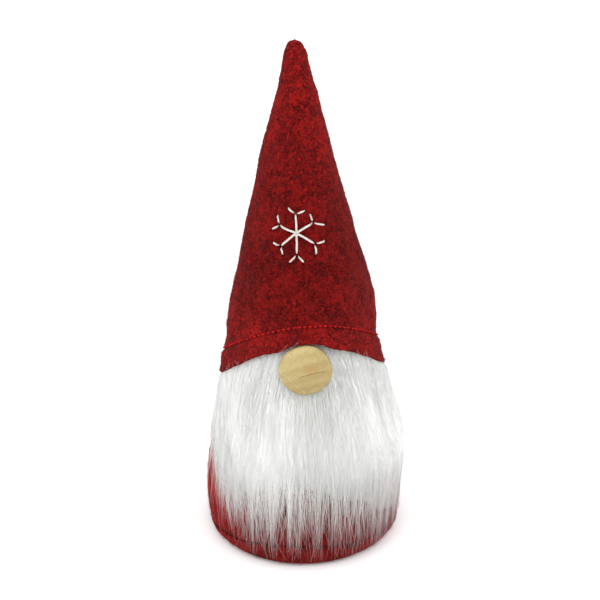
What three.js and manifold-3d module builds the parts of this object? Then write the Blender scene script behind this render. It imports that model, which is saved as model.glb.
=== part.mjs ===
// A standing felt gnome: a weighted, stuffed body with a faux-fur beard and a wooden nose, under a
// tall pull-on cone hat with an embroidered snowflake.
// Millimetres, +Z up. The origin is the centre of the underside, and the gnome faces -Y.
// A turn about Z is measured from the front, and +X is a quarter turn.

import * as THREE from "three";
import { mergeVertices } from "three/addons/utils/BufferGeometryUtils.js";
import Module from "manifold-3d";

// Materials' thicknesses and the gap that touching pieces keep.
const GAP = 0.3;
const FELT = 2.2;
const BACKING = 1.2;
const BAG_CLOTH = 0.6;
const THREAD_RADIUS = 0.45;
const SEAM_ROOM = 2 * GAP + 2 * THREAD_RADIUS;

// Body.
const BODY_TOP = 150.5;
const RUFF_TOP = 155.5;
const NECK_RADIUS = 6.6;
const BASE_ROUNDING = 6;
const BASE_RADIUS = 44;
const BASE_FLANGE = 15;
const BOARD_RADIUS = 42;
const BOARD_THICKNESS = 2;
const BASE_STITCH_HEIGHT = 8.9;
const BASE_STITCH_WAVE = 3.9;
const BODY_SEAM_BOTTOM = 18;
const BODY_SEAM_TOP = 132;

// Hat. The brim's edge is high over the face, where it rests on the nose, and low behind.
const HAT_TIP = 253.5;
const TIP_RADIUS = 5.7;
const DOME_BOTTOM = 245;
const TIP_POINT = 1.3;
const BRIM_HEIGHT = 92.6;
const BRIM_ARCH = 19.4;
const BRIM_PEAK = 4.5;
const BRIM_TILT = 2.65;
const NOSE_LIFT = 2.4;
const NOSE_LIFT_TURN = 0.045;
const NOSE_LIFT_WIDTH = 0.24;
const NOSE_LIFT_REACH = 10;
const ARCH_ENDS = 190;
const HEM_HEIGHT = 16.5;
const HEM_STITCH_HEIGHT = 11.4;
const HEM_STITCH_TILT = 0.7;
const HEM_STITCH_RISE = 2.9;
const FLARE = 2.4;
const FRONT_FLARE = 1.1;
const FLARE_REACH = 8;
const HAT_SEAM_TOP = 236;
const WAD_BOTTOM = 172;

// Beard.
const BACKING_BOTTOM = 58;
const BACKING_SIDE_RISE = 14;
const BACKING_TOP = 126;
const BACKING_TURN = 1.62;
const PILE_TOP = 122.5;
const PILE_BOTTOM = 15;
const PILE_BRIM_DROP = 1.5;
const PILE_SHARE_BELOW_BRIM = 0.75;
const THINNEST_HAIR = 0.6;

// Nose.
const NOSE_RADIUS = 12.7;
const NOSE_DEPTH = 7;
const NOSE_EDGE = 2.5;
const NOSE_X = 1;
const NOSE_Z = 105.8;
const NOSE_BACK_Y = -38;
const PAD_RADIUS = 5;
const PAD_BACK_Y = -33.1;

// Snowflake, laid on the front of the hat.
const FLAKE_HEIGHT = 169.3;
const FLAKE_TURN = -0.073;
const FLAKE_SLOPE = Math.atan(0.26);
const FLAKE_CENTRE_GAP = 2.1;
const ARM_RADIUS = 0.8;
const FORK_RADIUS = 0.65;
const FORK_GAP = 1.7;
const FORK_SHORTER = 1;

// How finely round pieces are cut.
const AROUND = 36;
const HIDDEN_AROUND = 20;
const THREAD_SIDES = 6;

const COLOURS = {
  hatFelt: 0x96191c,
  bodyFelt: 0xab2426,
  redThread: 0x7a1416,
  fur: 0xe8ebe6,
  backing: 0xdedbd2,
  wood: 0xdcb886,
  flakeThread: 0xf4f4f0,
  cardboard: 0xa98a62,
  bagCloth: 0xe6e2d6,
  pellets: 0xd8dcde,
  fibre: 0xf0f0ee,
  glue: 0xe9dcae,
};

const wasm = await Module();
wasm.setup();

// ---- Helpers -------------------------------------------------------------------------------------

// A smooth function through [place, value] knots.
function curveThrough(...knots) {
  const places = knots.map((knot) => knot[0]);
  const values = knots.map((knot) => knot[1]);
  const spline = new THREE.CubicInterpolant(places, values, 1, new Float32Array(1));
  return (place) => spline.evaluate(place)[0];
}

function points(...pairs) {
  return pairs.map(([radius, height]) => new THREE.Vector2(radius, height));
}

// count + 1 numbers from low to high.
function steps(low, high, count) {
  return Array.from({ length: count + 1 }, (_, i) => THREE.MathUtils.lerp(low, high, i / count));
}

// An outline that runs upwards, moved towards the axis by depth.
function inset(outline, depth) {
  const last = outline.length - 1;
  return outline.map((point, i) => {
    const after = outline[Math.min(i + 1, last)];
    const along = after.clone().sub(outline[Math.max(i - 1, 0)]).normalize();
    return new THREE.Vector2(point.x - along.y * depth, point.y + along.x * depth);
  });
}

// A solid of revolution about Z. Its profile runs up on the outside.
function turned(profile, around = AROUND) {
  return new THREE.LatheGeometry(profile, around).rotateX(Math.PI / 2);
}

// A closed wall of revolution between an upward outline and its inset.
function wall(outer, inner) {
  return turned([...outer, ...inner.toReversed(), outer[0]]);
}

// A ring of thread about Z.
function ring(radius, height, threadRadius = THREAD_RADIUS) {
  const centre = new THREE.Vector2(radius, height);
  const circle = steps(0, 2 * Math.PI, THREAD_SIDES).map((turn) =>
    new THREE.Vector2(Math.cos(turn), Math.sin(turn)).multiplyScalar(threadRadius).add(centre),
  );
  circle[THREAD_SIDES].copy(circle[0]);
  return turned(circle);
}

// A length of thread along a curve through the given places.
function strand(places, threadRadius, stepCount) {
  const section = new THREE.Shape(
    steps(0, 2 * Math.PI, THREAD_SIDES)
      .slice(0, -1)
      .map((turn) => new THREE.Vector2(threadRadius * Math.cos(turn), threadRadius * Math.sin(turn))),
  );
  const path = new THREE.CatmullRomCurve3(places);
  return new THREE.ExtrudeGeometry(section, { steps: stepCount, extrudePath: path });
}

// The place at a turn from the front, a distance from the axis and a height.
function around(turn, radius, height) {
  return new THREE.Vector3(radius * Math.sin(turn), -radius * Math.cos(turn), height);
}

function turnOf(place) {
  return Math.atan2(place.x, -place.y);
}

// Moves every vertex of a geometry with a function that returns the new place.
function warped(geometry, move) {
  const position = geometry.getAttribute("position");
  const place = new THREE.Vector3();
  for (let i = 0; i < position.count; i++) {
    const moved = move(place.fromBufferAttribute(position, i));
    position.setXYZ(i, moved.x, moved.y, moved.z);
  }
  return geometry;
}

// A curved slab: across runs round the axis, up runs upwards and out from the inside to the outside,
// each from 0 to 1.
function slab(acrossSteps, upSteps, placeOf) {
  const box = new THREE.BoxGeometry(1, 1, 1, acrossSteps, upSteps, 1);
  return warped(box, (place) => placeOf(place.x + 0.5, place.y + 0.5, place.z + 0.5));
}

function solidOf(geometry) {
  const bare = geometry.clone().deleteAttribute("normal").deleteAttribute("uv");
  const merged = mergeVertices(bare, 1e-3);
  const vertProperties = merged.getAttribute("position").array;
  const triVerts = new Uint32Array(merged.index.array);
  return new wasm.Manifold(new wasm.Mesh({ numProp: 3, vertProperties, triVerts }));
}

// The first geometry with the others cut out of it.
function cut(geometry, ...cutters) {
  const solid = cutters.reduce((left, cutter) => left.subtract(solidOf(cutter)), solidOf(geometry));
  const mesh = solid.getMesh();
  const made = new THREE.BufferGeometry();
  made.setAttribute("position", new THREE.BufferAttribute(mesh.vertProperties, 3));
  made.setIndex(new THREE.BufferAttribute(mesh.triVerts, 1));
  made.computeVertexNormals();
  return made;
}

function piece(name, geometry, color, roughness = 0.9) {
  const mesh = new THREE.Mesh(geometry, new THREE.MeshStandardMaterial({ color, roughness }));
  mesh.name = name;
  return mesh;
}

// ---- Body ----------------------------------------------------------------------------------------

const bodyWall = curveThrough(
  [0, 51.2],
  [8, 51.4],
  [20, 51.4],
  [40, 49.8],
  [55, 46.3],
  [70, 41.8],
  [80, 37.6],
  [90, 33.6],
  [102, 30.9],
  [125, 29.0],
  [138, 24.8],
  [146, 17],
  [BODY_TOP, 9],
);

// The body's outside radius, rounded under at the bottom.
function bodyRadius(height) {
  const under = Math.max(0, 1 - height / BASE_ROUNDING);
  return bodyWall(height) - BASE_ROUNDING * (1 - Math.sqrt(1 - under ** 2));
}

// The outside of the body felt: the foot, the wall, the gathered shoulder, the drawn-in neck and
// its ruff.
function bodyOutline(from = 0) {
  const foot = [0, 0.8, 2.5, BASE_ROUNDING];
  const wall = [15, 27, 40, 50, 60, 70, 80, 85, 90, 96, 102, 108, 116, 125];
  const shoulder = [134, 142, 147, BODY_TOP];
  const heights = [...foot, ...wall, ...shoulder].filter((height) => height >= from);
  return points(
    ...heights.map((height) => [bodyRadius(height), height]),
    [NECK_RADIUS, BODY_TOP + 1.8],
    [NECK_RADIUS + 0.8, RUFF_TOP],
  );
}

function bodyFelt() {
  const outer = bodyOutline();
  return wall(outer, inset(outer, FELT));
}

// The base disc, its edge turned up inside the body tube and stitched through.
function baseFelt() {
  const foot = bodyOutline().filter((point) => point.y <= BASE_FLANGE);
  const outer = inset(foot, FELT + GAP);
  const inner = inset(foot, 2 * FELT + GAP);
  const edge = points([0, 0], [BASE_RADIUS, 0], [BASE_RADIUS, FELT * 0.9]);
  const floor = points([BOARD_RADIUS + 2 * GAP, FELT], [0, FELT]);
  return turned([...edge, ...outer, ...inner.toReversed(), ...floor]);
}

function baseBoard() {
  const low = FELT + GAP;
  const high = low + BOARD_THICKNESS;
  return turned(points([0, low], [BOARD_RADIUS, low], [BOARD_RADIUS, high], [0, high]));
}

// The hand-sewn line round the foot, lower at the sides than in front and behind.
function baseTopstitch() {
  const level = ring(bodyRadius(BASE_STITCH_HEIGHT) + GAP + THREAD_RADIUS, BASE_STITCH_HEIGHT);
  return warped(level, (place) => {
    place.z += BASE_STITCH_WAVE * Math.cos(2 * turnOf(place));
    return place;
  });
}

function bodyBackSeam() {
  const inward = FELT + SEAM_ROOM / 2;
  const places = steps(BODY_SEAM_BOTTOM, BODY_SEAM_TOP, 20).map((height) =>
    around(Math.PI, bodyRadius(height) - inward, height),
  );
  return strand(places, THREAD_RADIUS, 14);
}

function gatherThread() {
  return ring(NECK_RADIUS + 1.1, BODY_TOP + 2.6);
}

const BAG_BOTTOM = FELT + BOARD_THICKNESS + 2 * GAP;
const BAG_OUTLINE = points(
  [41, BAG_BOTTOM],
  [45.2, 9],
  [45.2, 20],
  [41, 27],
  [30, 31.5],
  [12, 34.5],
  [5.6, 37],
  [5.2, 39],
  [6.6, 42],
);

// The bag that holds the pellets, gathered to an open neck.
function pelletBag() {
  const inside = inset(BAG_OUTLINE, BAG_CLOTH);
  const floor = new THREE.Vector2(0, BAG_BOTTOM);
  const innerFloor = new THREE.Vector2(0, BAG_BOTTOM + BAG_CLOTH);
  inside[0].y = BAG_BOTTOM + BAG_CLOTH;
  return turned([floor, ...BAG_OUTLINE, ...inside.toReversed(), innerFloor], HIDDEN_AROUND);
}

function pelletFill() {
  const depth = BAG_CLOTH + GAP;
  const heap = inset(BAG_OUTLINE.slice(0, 6), depth);
  heap[0].y = BAG_BOTTOM + depth;
  return turned([new THREE.Vector2(0, BAG_BOTTOM + depth), ...heap, new THREE.Vector2(0, 34)], HIDDEN_AROUND);
}

// Loose fibre from the pellet bag to the shoulder, clear of the bag's neck and the back seam.
function bodyStuffing() {
  const under = points([0, 43.5], [8.4, 43.5], [8.4, 38.6], [14, 35.8], [31, 32.8], [42.5, 28.5], [46.8, 23]);
  const outer = inset(bodyOutline(22).slice(0, -2), FELT + SEAM_ROOM);
  return turned([...under, ...outer, new THREE.Vector2(0, outer.at(-1).y)], HIDDEN_AROUND);
}

// ---- Hat -----------------------------------------------------------------------------------------

// The plain cone's outside: slightly full in the middle, and steeper near the brim.
const coneRadius = curveThrough(
  [75, 42.4],
  [105, 38.8],
  [126, 36.8],
  [156, 29.7],
  [187, 21.6],
  [215, 14.0],
  [DOME_BOTTOM, 6.1],
);

// The height of the brim's edge at a turn from the front.
function brimEdge(turn) {
  return BRIM_HEIGHT + archAt(turn) + noseLift(turn, 0);
}

function archAt(turn) {
  return BRIM_ARCH * Math.cos(turn) + BRIM_PEAK * Math.cos(2 * turn) + BRIM_TILT * Math.sin(turn);
}

// How far the nose pushes the brim up over itself, a distance above the brim's edge.
function noseLift(turn, aboveEdge) {
  const overNose = Math.exp(-(((turn - NOSE_LIFT_TURN) / NOSE_LIFT_WIDTH) ** 4));
  return NOSE_LIFT * overNose * (1 - THREE.MathUtils.smoothstep(aboveEdge, 0, NOSE_LIFT_REACH));
}

// How far the brim turns outwards, a distance above its edge.
function flareAt(turn, aboveEdge) {
  return (FLARE + FRONT_FLARE * Math.cos(turn)) * Math.exp(-aboveEdge / FLARE_REACH);
}

// The hat's middle line leans slightly to -X towards the tip.
const leanAt = curveThrough(
  [80, 0],
  [109, -0.5],
  [126, -0.6],
  [152, -0.9],
  [178, -1.8],
  [203, -3.0],
  [250, -3.6],
);

// Takes a place on the straight, level hat to the arched and leaning one.
function shaped(place) {
  const turn = turnOf(place);
  const share = 1 - THREE.MathUtils.smoothstep(place.z, BRIM_HEIGHT, ARCH_ENDS);
  const height = place.z + share * archAt(turn) + noseLift(turn, place.z - BRIM_HEIGHT);
  const grown = coneRadius(height) - coneRadius(place.z) + flareAt(turn, place.z - BRIM_HEIGHT);
  const plain = Math.hypot(place.x, place.y);
  const radius = place.z < ARCH_ENDS ? plain + grown : plain;
  const moved = around(turn, radius, height);
  moved.x += leanAt(height);
  return moved;
}

// A place over the outside of the finished hat, well above the brim, at a turn and a height.
function onHat(turn, height, proud) {
  const place = around(turn, coneRadius(height) + proud, height);
  place.x += leanAt(height);
  return place;
}

// The hat's outside from the foot of the cone wall to the tip, before the brim is arched.
function hatOutline(from, tip, depth = 0) {
  const wall = [97, 101.5, 106.1, 112, 119, 126, 138, 152, 166, 178, 190, 210, 230];
  const heights = [BRIM_HEIGHT + 1.6, ...wall, DOME_BOTTOM];
  const cone = heights
    .filter((height) => height >= from)
    .map((height) => new THREE.Vector2(coneRadius(height) - depth, height));
  const dome = points(
    ...steps(0.35, Math.PI / 2, 3)
      .slice(0, -1)
      .map((lift) => [
        (TIP_RADIUS - depth) * Math.cos(lift) ** TIP_POINT,
        DOME_BOTTOM + (tip - DOME_BOTTOM) * Math.sin(lift),
      ]),
  );
  return [...cone, ...dome, new THREE.Vector2(0, tip)];
}

// One felt wall with its bottom edge folded inwards to a double hem.
function hatFelt() {
  const hemTop = BRIM_HEIGHT + HEM_HEIGHT;
  const outer = hatOutline(BRIM_HEIGHT + 1, HAT_TIP);
  const inner = hatOutline(hemTop, HAT_TIP - FELT - 0.6, FELT);
  const fold = steps(-Math.PI, 0, 4).map(
    (turn) =>
      new THREE.Vector2(
        coneRadius(BRIM_HEIGHT) - FELT + FELT * Math.cos(turn),
        BRIM_HEIGHT + FELT * 0.7 * (1 + Math.sin(turn)),
      ),
  );
  const hem = new THREE.Vector2(coneRadius(hemTop) - 2 * FELT, hemTop - 0.5);
  const profile = [...inner.toReversed(), hem, ...fold, ...outer];
  return warped(turned(profile), shaped);
}

// The line that holds the hem. It rises towards both sides, a little more towards +X.
function hatHemThread() {
  const height = BRIM_HEIGHT + HEM_STITCH_HEIGHT;
  const radius = coneRadius(height) + GAP + THREAD_RADIUS;
  return warped(ring(radius, height), (place) => {
    const sideways = Math.sin(turnOf(place));
    place.z += HEM_STITCH_TILT * sideways + HEM_STITCH_RISE * sideways ** 2;
    return shaped(place);
  });
}

// The cone's seam, inside the felt at the back.
function hatBackSeam() {
  const inward = FELT + SEAM_ROOM / 2;
  const places = steps(BRIM_HEIGHT + HEM_HEIGHT + 4, HAT_SEAM_TOP, 20).map((height) =>
    shaped(around(Math.PI, coneRadius(height) - inward, height)),
  );
  return strand(places, THREAD_RADIUS, 14);
}

// The wad of fibre that keeps the tip up.
function hatStuffing() {
  const depth = FELT + SEAM_ROOM;
  const outline = hatOutline(WAD_BOTTOM, HAT_TIP - FELT - 3, depth);
  return warped(turned([new THREE.Vector2(0, WAD_BOTTOM), ...outline], HIDDEN_AROUND), shaped);
}

// ---- Snowflake -----------------------------------------------------------------------------------

// Each arm of the hand-sewn flake: its direction in degrees from +X, its length, and then the
// direction and length of each of the two stitches at its tip.
const FLAKE_ARMS = [
  { turn: 92, length: 8.5, forks: [[140, 4.0], [24, 4.3]] },
  { turn: 30, length: 9.2, forks: [[107, 3.5], [-13, 5.4]] },
  { turn: -31, length: 10.3, forks: [[13, 4.4], [-87, 4.3]] },
  { turn: -90, length: 10.3, forks: [[-45, 4.1], [-135, 4.6]] },
  { turn: -140, length: 10.4, forks: [[-76, 3.2], [164, 3.7]] },
  { turn: 161, length: 8.9, forks: [[209, 3.9], [99, 4.2]] },
];

// A place on the hat's front, from a distance across and a distance up from the flake's centre.
function onFlake(flat, proud) {
  const height = FLAKE_HEIGHT + flat.y * Math.cos(FLAKE_SLOPE);
  return onHat(FLAKE_TURN + flat.x / coneRadius(height), height, proud);
}

function towards(start, degrees, distance) {
  const turn = THREE.MathUtils.degToRad(degrees);
  return new THREE.Vector2(start.x + distance * Math.cos(turn), start.y + distance * Math.sin(turn));
}

// One straight stitch laid on the felt.
function stitch(start, end, radius) {
  const proud = GAP + radius;
  const places = steps(0, 1, 4).map((share) => onFlake(start.clone().lerp(end, share), proud));
  return strand(places, radius, 4);
}

function snowflake() {
  const centre = new THREE.Vector2();
  const flake = new THREE.Group();
  FLAKE_ARMS.forEach((arm, i) => {
    const foot = towards(centre, arm.turn, FLAKE_CENTRE_GAP);
    const tip = towards(centre, arm.turn, arm.length);
    flake.add(piece(`snowflake_arm_${i + 1}`, stitch(foot, tip, ARM_RADIUS), COLOURS.flakeThread));
    arm.forks.forEach(([turn, length], side) => {
      const root = towards(tip, turn, FORK_GAP);
      const end = towards(tip, turn, FORK_GAP + length - FORK_SHORTER);
      const name = `snowflake_fork_${i + 1}${"ab"[side]}`;
      flake.add(piece(name, stitch(root, end, FORK_RADIUS), COLOURS.flakeThread));
    });
  });
  return flake;
}

// ---- Beard and nose ------------------------------------------------------------------------------

// The knitted ground of the fur, laid on the front of the body.
function beardBacking() {
  return slab(16, 10, (across, up, out) => {
    const turn = BACKING_TURN * (2 * across - 1);
    const bottom = BACKING_BOTTOM + BACKING_SIDE_RISE * (2 * across - 1) ** 2;
    const height = THREE.MathUtils.lerp(bottom, BACKING_TOP, up);
    return around(turn, bodyRadius(height) + GAP + BACKING * out, height);
  });
}

// The hair's free outside, before the brim holds it in.
const pileRadius = curveThrough(
  [PILE_BOTTOM, 52.8],
  [25, 53.0],
  [35, 53.1],
  [45, 52.6],
  [55, 51.2],
  [69, 47.6],
  [81, 45.0],
  [92, 42.2],
  [104, 39.4],
  [PILE_TOP, 36.5],
);

const pileLeft = curveThrough([15, 0.72], [24, 0.85], [34, 1.1], [44, 1.45], [54, 1.62], [124, 1.6]);
const pileRight = curveThrough([15, 1.28], [30, 1.5], [54, 1.66], [124, 1.6]);
const hairBehind = curveThrough([PILE_BOTTOM, 0.7], [38, 0.9], [58, 1.9], [PILE_TOP, 1.85]);

// The inside of the hat's hem at a turn, a distance above its edge.
function hemInside(turn, height) {
  const aboveEdge = Math.max(0, height - brimEdge(turn));
  return coneRadius(height) + flareAt(turn, aboveEdge) - 2 * FELT + leanAt(height) * Math.sin(turn);
}

function pileOutside(turn, height) {
  const brim = brimEdge(turn) - PILE_BRIM_DROP;
  const below = Math.max(0, brim - height);
  const held = hemInside(turn, Math.max(height, brim)) - 2 * GAP + 1.3 * below;
  const fuller = 2 * Math.sin(turn) * Math.exp(-(((height - 56) / 22) ** 2));
  const thin = bodyRadius(height) + hairBehind(height) + THINNEST_HAIR;
  return Math.max(thin, Math.min(held, pileRadius(height) + fuller));
}

// The long hair of the beard. One row of its surface follows the brim, and it parts round the nose.
function beardPile() {
  const body = slab(26, 16, (across, up, out) => {
    const side = 2 * across - 1;
    const guess = THREE.MathUtils.lerp(PILE_BOTTOM, PILE_TOP, up);
    const turn = side * (side < 0 ? pileLeft(guess) : pileRight(guess));
    const brim = Math.min(brimEdge(turn), brimEdge(0)) - PILE_BRIM_DROP;
    const height =
      up < PILE_SHARE_BELOW_BRIM
        ? THREE.MathUtils.lerp(PILE_BOTTOM, brim, up / PILE_SHARE_BELOW_BRIM)
        : THREE.MathUtils.mapLinear(up, PILE_SHARE_BELOW_BRIM, 1, brim, PILE_TOP);
    const inside = bodyRadius(height) + hairBehind(height);
    return around(turn, THREE.MathUtils.lerp(inside, pileOutside(turn, height), out), height);
  });
  const clearance = 2 * GAP;
  const pocket = facingFront(disc(NOSE_RADIUS + clearance, 30), NOSE_BACK_Y + clearance);
  const padHole = facingFront(disc(PAD_RADIUS + clearance, 30), PAD_BACK_Y + 10);
  return cut(body, pocket, padHole);
}

function beardSeamThread() {
  const height = BACKING_TOP - 1.6;
  const radius = bodyRadius(height) + 2 * GAP + BACKING + THREAD_RADIUS;
  const places = steps(-1.4, 1.4, 20).map((turn) => around(turn, radius, height));
  return strand(places, THREAD_RADIUS, 20);
}

// A round disc about Z, standing on the origin.
function disc(radius, depth) {
  return turned(points([0, 0], [radius, 0], [radius, depth], [0, depth]), 24);
}

// Turns a piece that stands on the origin to face -Y, with its foot at the nose's centre line.
function facingFront(geometry, backY) {
  return geometry.rotateX(Math.PI / 2).translate(NOSE_X, backY, NOSE_Z);
}

// A turned wooden button with a flat, eased back, a short rim and a shallow dome.
function nose() {
  const rise = NOSE_DEPTH - NOSE_EDGE;
  const dome = steps(0, Math.PI / 2, 5)
    .slice(1, -1)
    .map((turn) => [NOSE_RADIUS * Math.cos(turn), NOSE_EDGE + rise * Math.sin(turn)]);
  const rim = [[NOSE_RADIUS - 1, 0], [NOSE_RADIUS - 0.2, 0.8], [NOSE_RADIUS, 1.6], [NOSE_RADIUS, NOSE_EDGE]];
  return facingFront(turned(points([0, 0], ...rim, ...dome, [0, NOSE_DEPTH]), 32), NOSE_BACK_Y);
}

function noseGluePad() {
  return facingFront(disc(PAD_RADIUS, PAD_BACK_Y - NOSE_BACK_Y - GAP), PAD_BACK_Y);
}

// ---- Assembly ------------------------------------------------------------------------------------

const figure = new THREE.Group();
figure.add(
  piece("base_felt", baseFelt(), COLOURS.bodyFelt),
  piece("base_board", baseBoard(), COLOURS.cardboard),
  piece("body_felt", bodyFelt(), COLOURS.bodyFelt),
  piece("base_topstitch_thread", baseTopstitch(), COLOURS.redThread),
  piece("body_back_seam_thread", bodyBackSeam(), COLOURS.redThread),
  piece("gather_thread", gatherThread(), COLOURS.redThread),
  piece("pellet_bag", pelletBag(), COLOURS.bagCloth),
  piece("pellet_fill", pelletFill(), COLOURS.pellets, 0.6),
  piece("body_stuffing", bodyStuffing(), COLOURS.fibre),
  piece("beard_backing", beardBacking(), COLOURS.backing),
  piece("beard_pile", beardPile(), COLOURS.fur),
  piece("beard_seam_thread", beardSeamThread(), COLOURS.flakeThread),
  piece("nose", nose(), COLOURS.wood, 0.55),
  piece("nose_glue_pad", noseGluePad(), COLOURS.glue, 0.4),
);

const hat = new THREE.Group();
hat.add(
  piece("hat_felt", hatFelt(), COLOURS.hatFelt),
  piece("hat_hem_thread", hatHemThread(), COLOURS.redThread),
  piece("hat_back_seam_thread", hatBackSeam(), COLOURS.redThread),
  piece("hat_stuffing", hatStuffing(), COLOURS.fibre),
  snowflake(),
);

const gnome = new THREE.Group();
gnome.add(figure, hat);

export default gnome;
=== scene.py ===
"""Looks of a standing felt gnome with a faux-fur beard, a wooden nose and a tall pull-on hat.

Shapes are worked out in millimetres, +Z up, with the gnome facing -Y. A turn about Z is in radians
from the front, and +X is a quarter turn. new_mesh() turns millimetres into Blender's metres.
"""

import math

import bpy
import numpy as np
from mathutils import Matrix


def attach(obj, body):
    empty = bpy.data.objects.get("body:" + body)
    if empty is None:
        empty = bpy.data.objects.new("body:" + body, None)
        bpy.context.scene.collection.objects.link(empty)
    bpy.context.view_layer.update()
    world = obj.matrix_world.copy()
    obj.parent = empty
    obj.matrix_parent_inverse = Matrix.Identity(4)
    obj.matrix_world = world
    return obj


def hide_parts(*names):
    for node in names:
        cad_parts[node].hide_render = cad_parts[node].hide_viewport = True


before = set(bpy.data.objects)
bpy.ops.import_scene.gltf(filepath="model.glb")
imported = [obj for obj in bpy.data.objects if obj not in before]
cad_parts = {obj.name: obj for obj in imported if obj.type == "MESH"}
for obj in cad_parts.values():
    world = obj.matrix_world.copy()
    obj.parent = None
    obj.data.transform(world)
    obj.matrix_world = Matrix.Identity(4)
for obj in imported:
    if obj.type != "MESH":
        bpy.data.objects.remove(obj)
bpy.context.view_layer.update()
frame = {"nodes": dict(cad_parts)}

MM = 0.001
TAU = 2 * math.pi

# Felt and thread.
FELT = 2.2
BODY_FELT_SEED = 11
HAT_FELT_SEED = 31
BODY_FUZZ = 5500
HAT_FUZZ = 13000
FUZZ_LENGTH = (0.8, 2.6)
FUZZ_THICKNESS = (0.030, 0.055)
SKIN_SPACING = 4.0
SKIN_AROUND = 96
STUFFING_PRESSURE = 4.0
STUFFING_FRAMES = 20
SEAM_HOLD = 2.5
STITCH_PITCH = 2.6
STITCH_SHARE = 0.6
BASE_THREAD = 0.34
HEM_THREAD = 0.37
# Width and depth of the groove that each row of stitches pulls into the felt.
BASE_GROOVE = (0.9, 0.9)
HEM_GROOVE = (0.85, 1.6)

# Body.
BODY_TOP = 150.5
RUFF_TOP = 155.5
NECK_RADIUS = 6.6
BASE_ROUNDING = 6
BASE_STITCH_HEIGHT = 8.9
BASE_STITCH_WAVE = 3.9
PLEATS = 17
PLEAT_DEPTH = 1.25
GATHER_START = 122
GATHER_END = 149

# Hat.
HAT_TIP = 254.1
TIP_RADIUS = 5.3
DOME_BOTTOM = 245
TIP_POINT = 2.3
CONE_TAPER = 0.26
BRIM_HEIGHT = 92.6
BRIM_ARCH = 19.4
BRIM_PEAK = 4.5
BRIM_TILT = 2.65
NOSE_LIFT = 2.4
NOSE_LIFT_TURN = 0.045
NOSE_LIFT_WIDTH = 0.24
NOSE_LIFT_REACH = 10
ARCH_ENDS = 190
HEM_HEIGHT = 16.5
HEM_STITCH_HEIGHT = 11.4
HEM_STITCH_TILT = 1.2
HEM_STITCH_RISE = 3.3
FLARE = 2.4
FRONT_FLARE = 1.1
FLARE_REACH = 8

# Snowflake: each arm's direction in degrees from +X, its length, and the direction and length of
# each of the two stitches at its tip.
FLAKE_HEIGHT = 169.3
FLAKE_TURN = -0.073
FORK_GAP = 0.9
FLOSS_THREAD = 0.21
NEEDLE_HOLE = 1.5
NEEDLE_HOLE_WIDTH = 0.65
DEEPEST_HOLE = 1.7
FLOSS_VALLEY = 0.35
FLAKE_ARMS = (
    (92, 8.5, ((140, 4.0), (24, 4.3))),
    (30, 9.2, ((107, 3.5), (-13, 5.4))),
    (-31, 10.3, ((13, 4.4), (-87, 4.3))),
    (-90, 10.3, ((-45, 4.1), (-135, 4.6))),
    (-140, 10.4, ((-76, 3.2), (164, 3.7))),
    (161, 8.9, ((209, 3.9), (99, 4.2))),
)

# Beard.
BACKING = 1.2
BACKING_BOTTOM = 58
BACKING_SIDE_RISE = 14
BACKING_TOP = 125
BACKING_TURN = 1.6
HAIR_PIECES = 8
HAIR_COUNT = 36000
LOCK_COUNT = 1700
LOOSE_SHARE = 0.34
FRINGE_SHARE = 0.14
BRIM_HAIRS = 16
FLYAWAY_COUNT = 260
HAIR_STEPS = 10
HAIR_LENGTH = (62, 104)
LOCK_TURN = 0.045
LOCK_HEIGHT = 2.4
LOCK_STRAY = 0.055
LOOSE_STRAY = 0.12
HAIR_THICKNESS = (0.058, 0.100)
FLYAWAY_THICKNESS = 0.045
STRAY_THICKNESS = 0.030

# Nose.
NOSE_RADIUS = 12.7
NOSE_DEPTH = 7
NOSE_EDGE = 2.5
NOSE_X = 1
NOSE_Z = 105.8
NOSE_BACK_Y = -38
# The tree's heart lies off the button, and the crack runs along one ring at RING_REACH from it.
RING_X = 11
RING_DROP = 35
RING_REACH = 36
RING_WIDTH = 0.72
BROAD_RING_WIDTH = 5.3

# How strong the fine detail is in every noise of the materials.
NOISE_ROUGHNESS = 0.55

# Colours, linear red, green and blue. The felts are dark, middle and bright wool.
HAT_WOOL = (0.045, 0.0030, 0.0034), (0.138, 0.0047, 0.0045), (0.275, 0.0086, 0.0076)
BODY_WOOL = (0.100, 0.0050, 0.0050), (0.230, 0.0090, 0.0085), (0.380, 0.0150, 0.0140)
# Painted light and shade on the felts: (height, share) stops that lighten or darken the wool with
# height.
HAT_PAINTED_SHADING = (
    (90, 1.08), (110, 1.12), (119, 1.36), (130, 0.95), (150, 0.81), (190, 1.01), (254, 1.26),
)
BODY_PAINTED_SHADING = (0, 0.92), (18, 1.0), (40, 1.3), (60, 1.4), (160, 1.2)
# Painted shade under the beard: the share of the body felt's colour kept at the very front.
BODY_BEARD_SHADE_SHARE = 0.6
WHITE = (1.0, 1.0, 1.0)
FUR_SHADE = (0.90, 0.91, 0.885)
FUR_MIDDLE = (0.965, 0.97, 0.955)
FUR_BRIGHT = (0.985, 0.985, 0.98)
# Painted shade on the fur: pinkish-grey low down, where the thin tips hang over the red felt.
FUR_TIP_SHADE = (0.66, 0.58, 0.585)
FUR_THIN_SHADE = (0.86, 0.83, 0.825)
# Painted shade: the fur is a little greyer near the middle of the beard.
FUR_MIDDLE_SHADE = (0.965, 0.97, 0.96)
WOOD_DARK = (0.25, 0.175, 0.060)
WOOD_MIDDLE = (0.37, 0.278, 0.106)
WOOD_PALE = (0.53, 0.43, 0.205)
KNOT_BROWN = (0.36, 0.20, 0.06)
CRACK_BROWN = (0.17, 0.11, 0.04)
# Painted shade round the button's edge, near its back.
RIM_SHADE_BROWN = (0.085, 0.06, 0.025)
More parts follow.
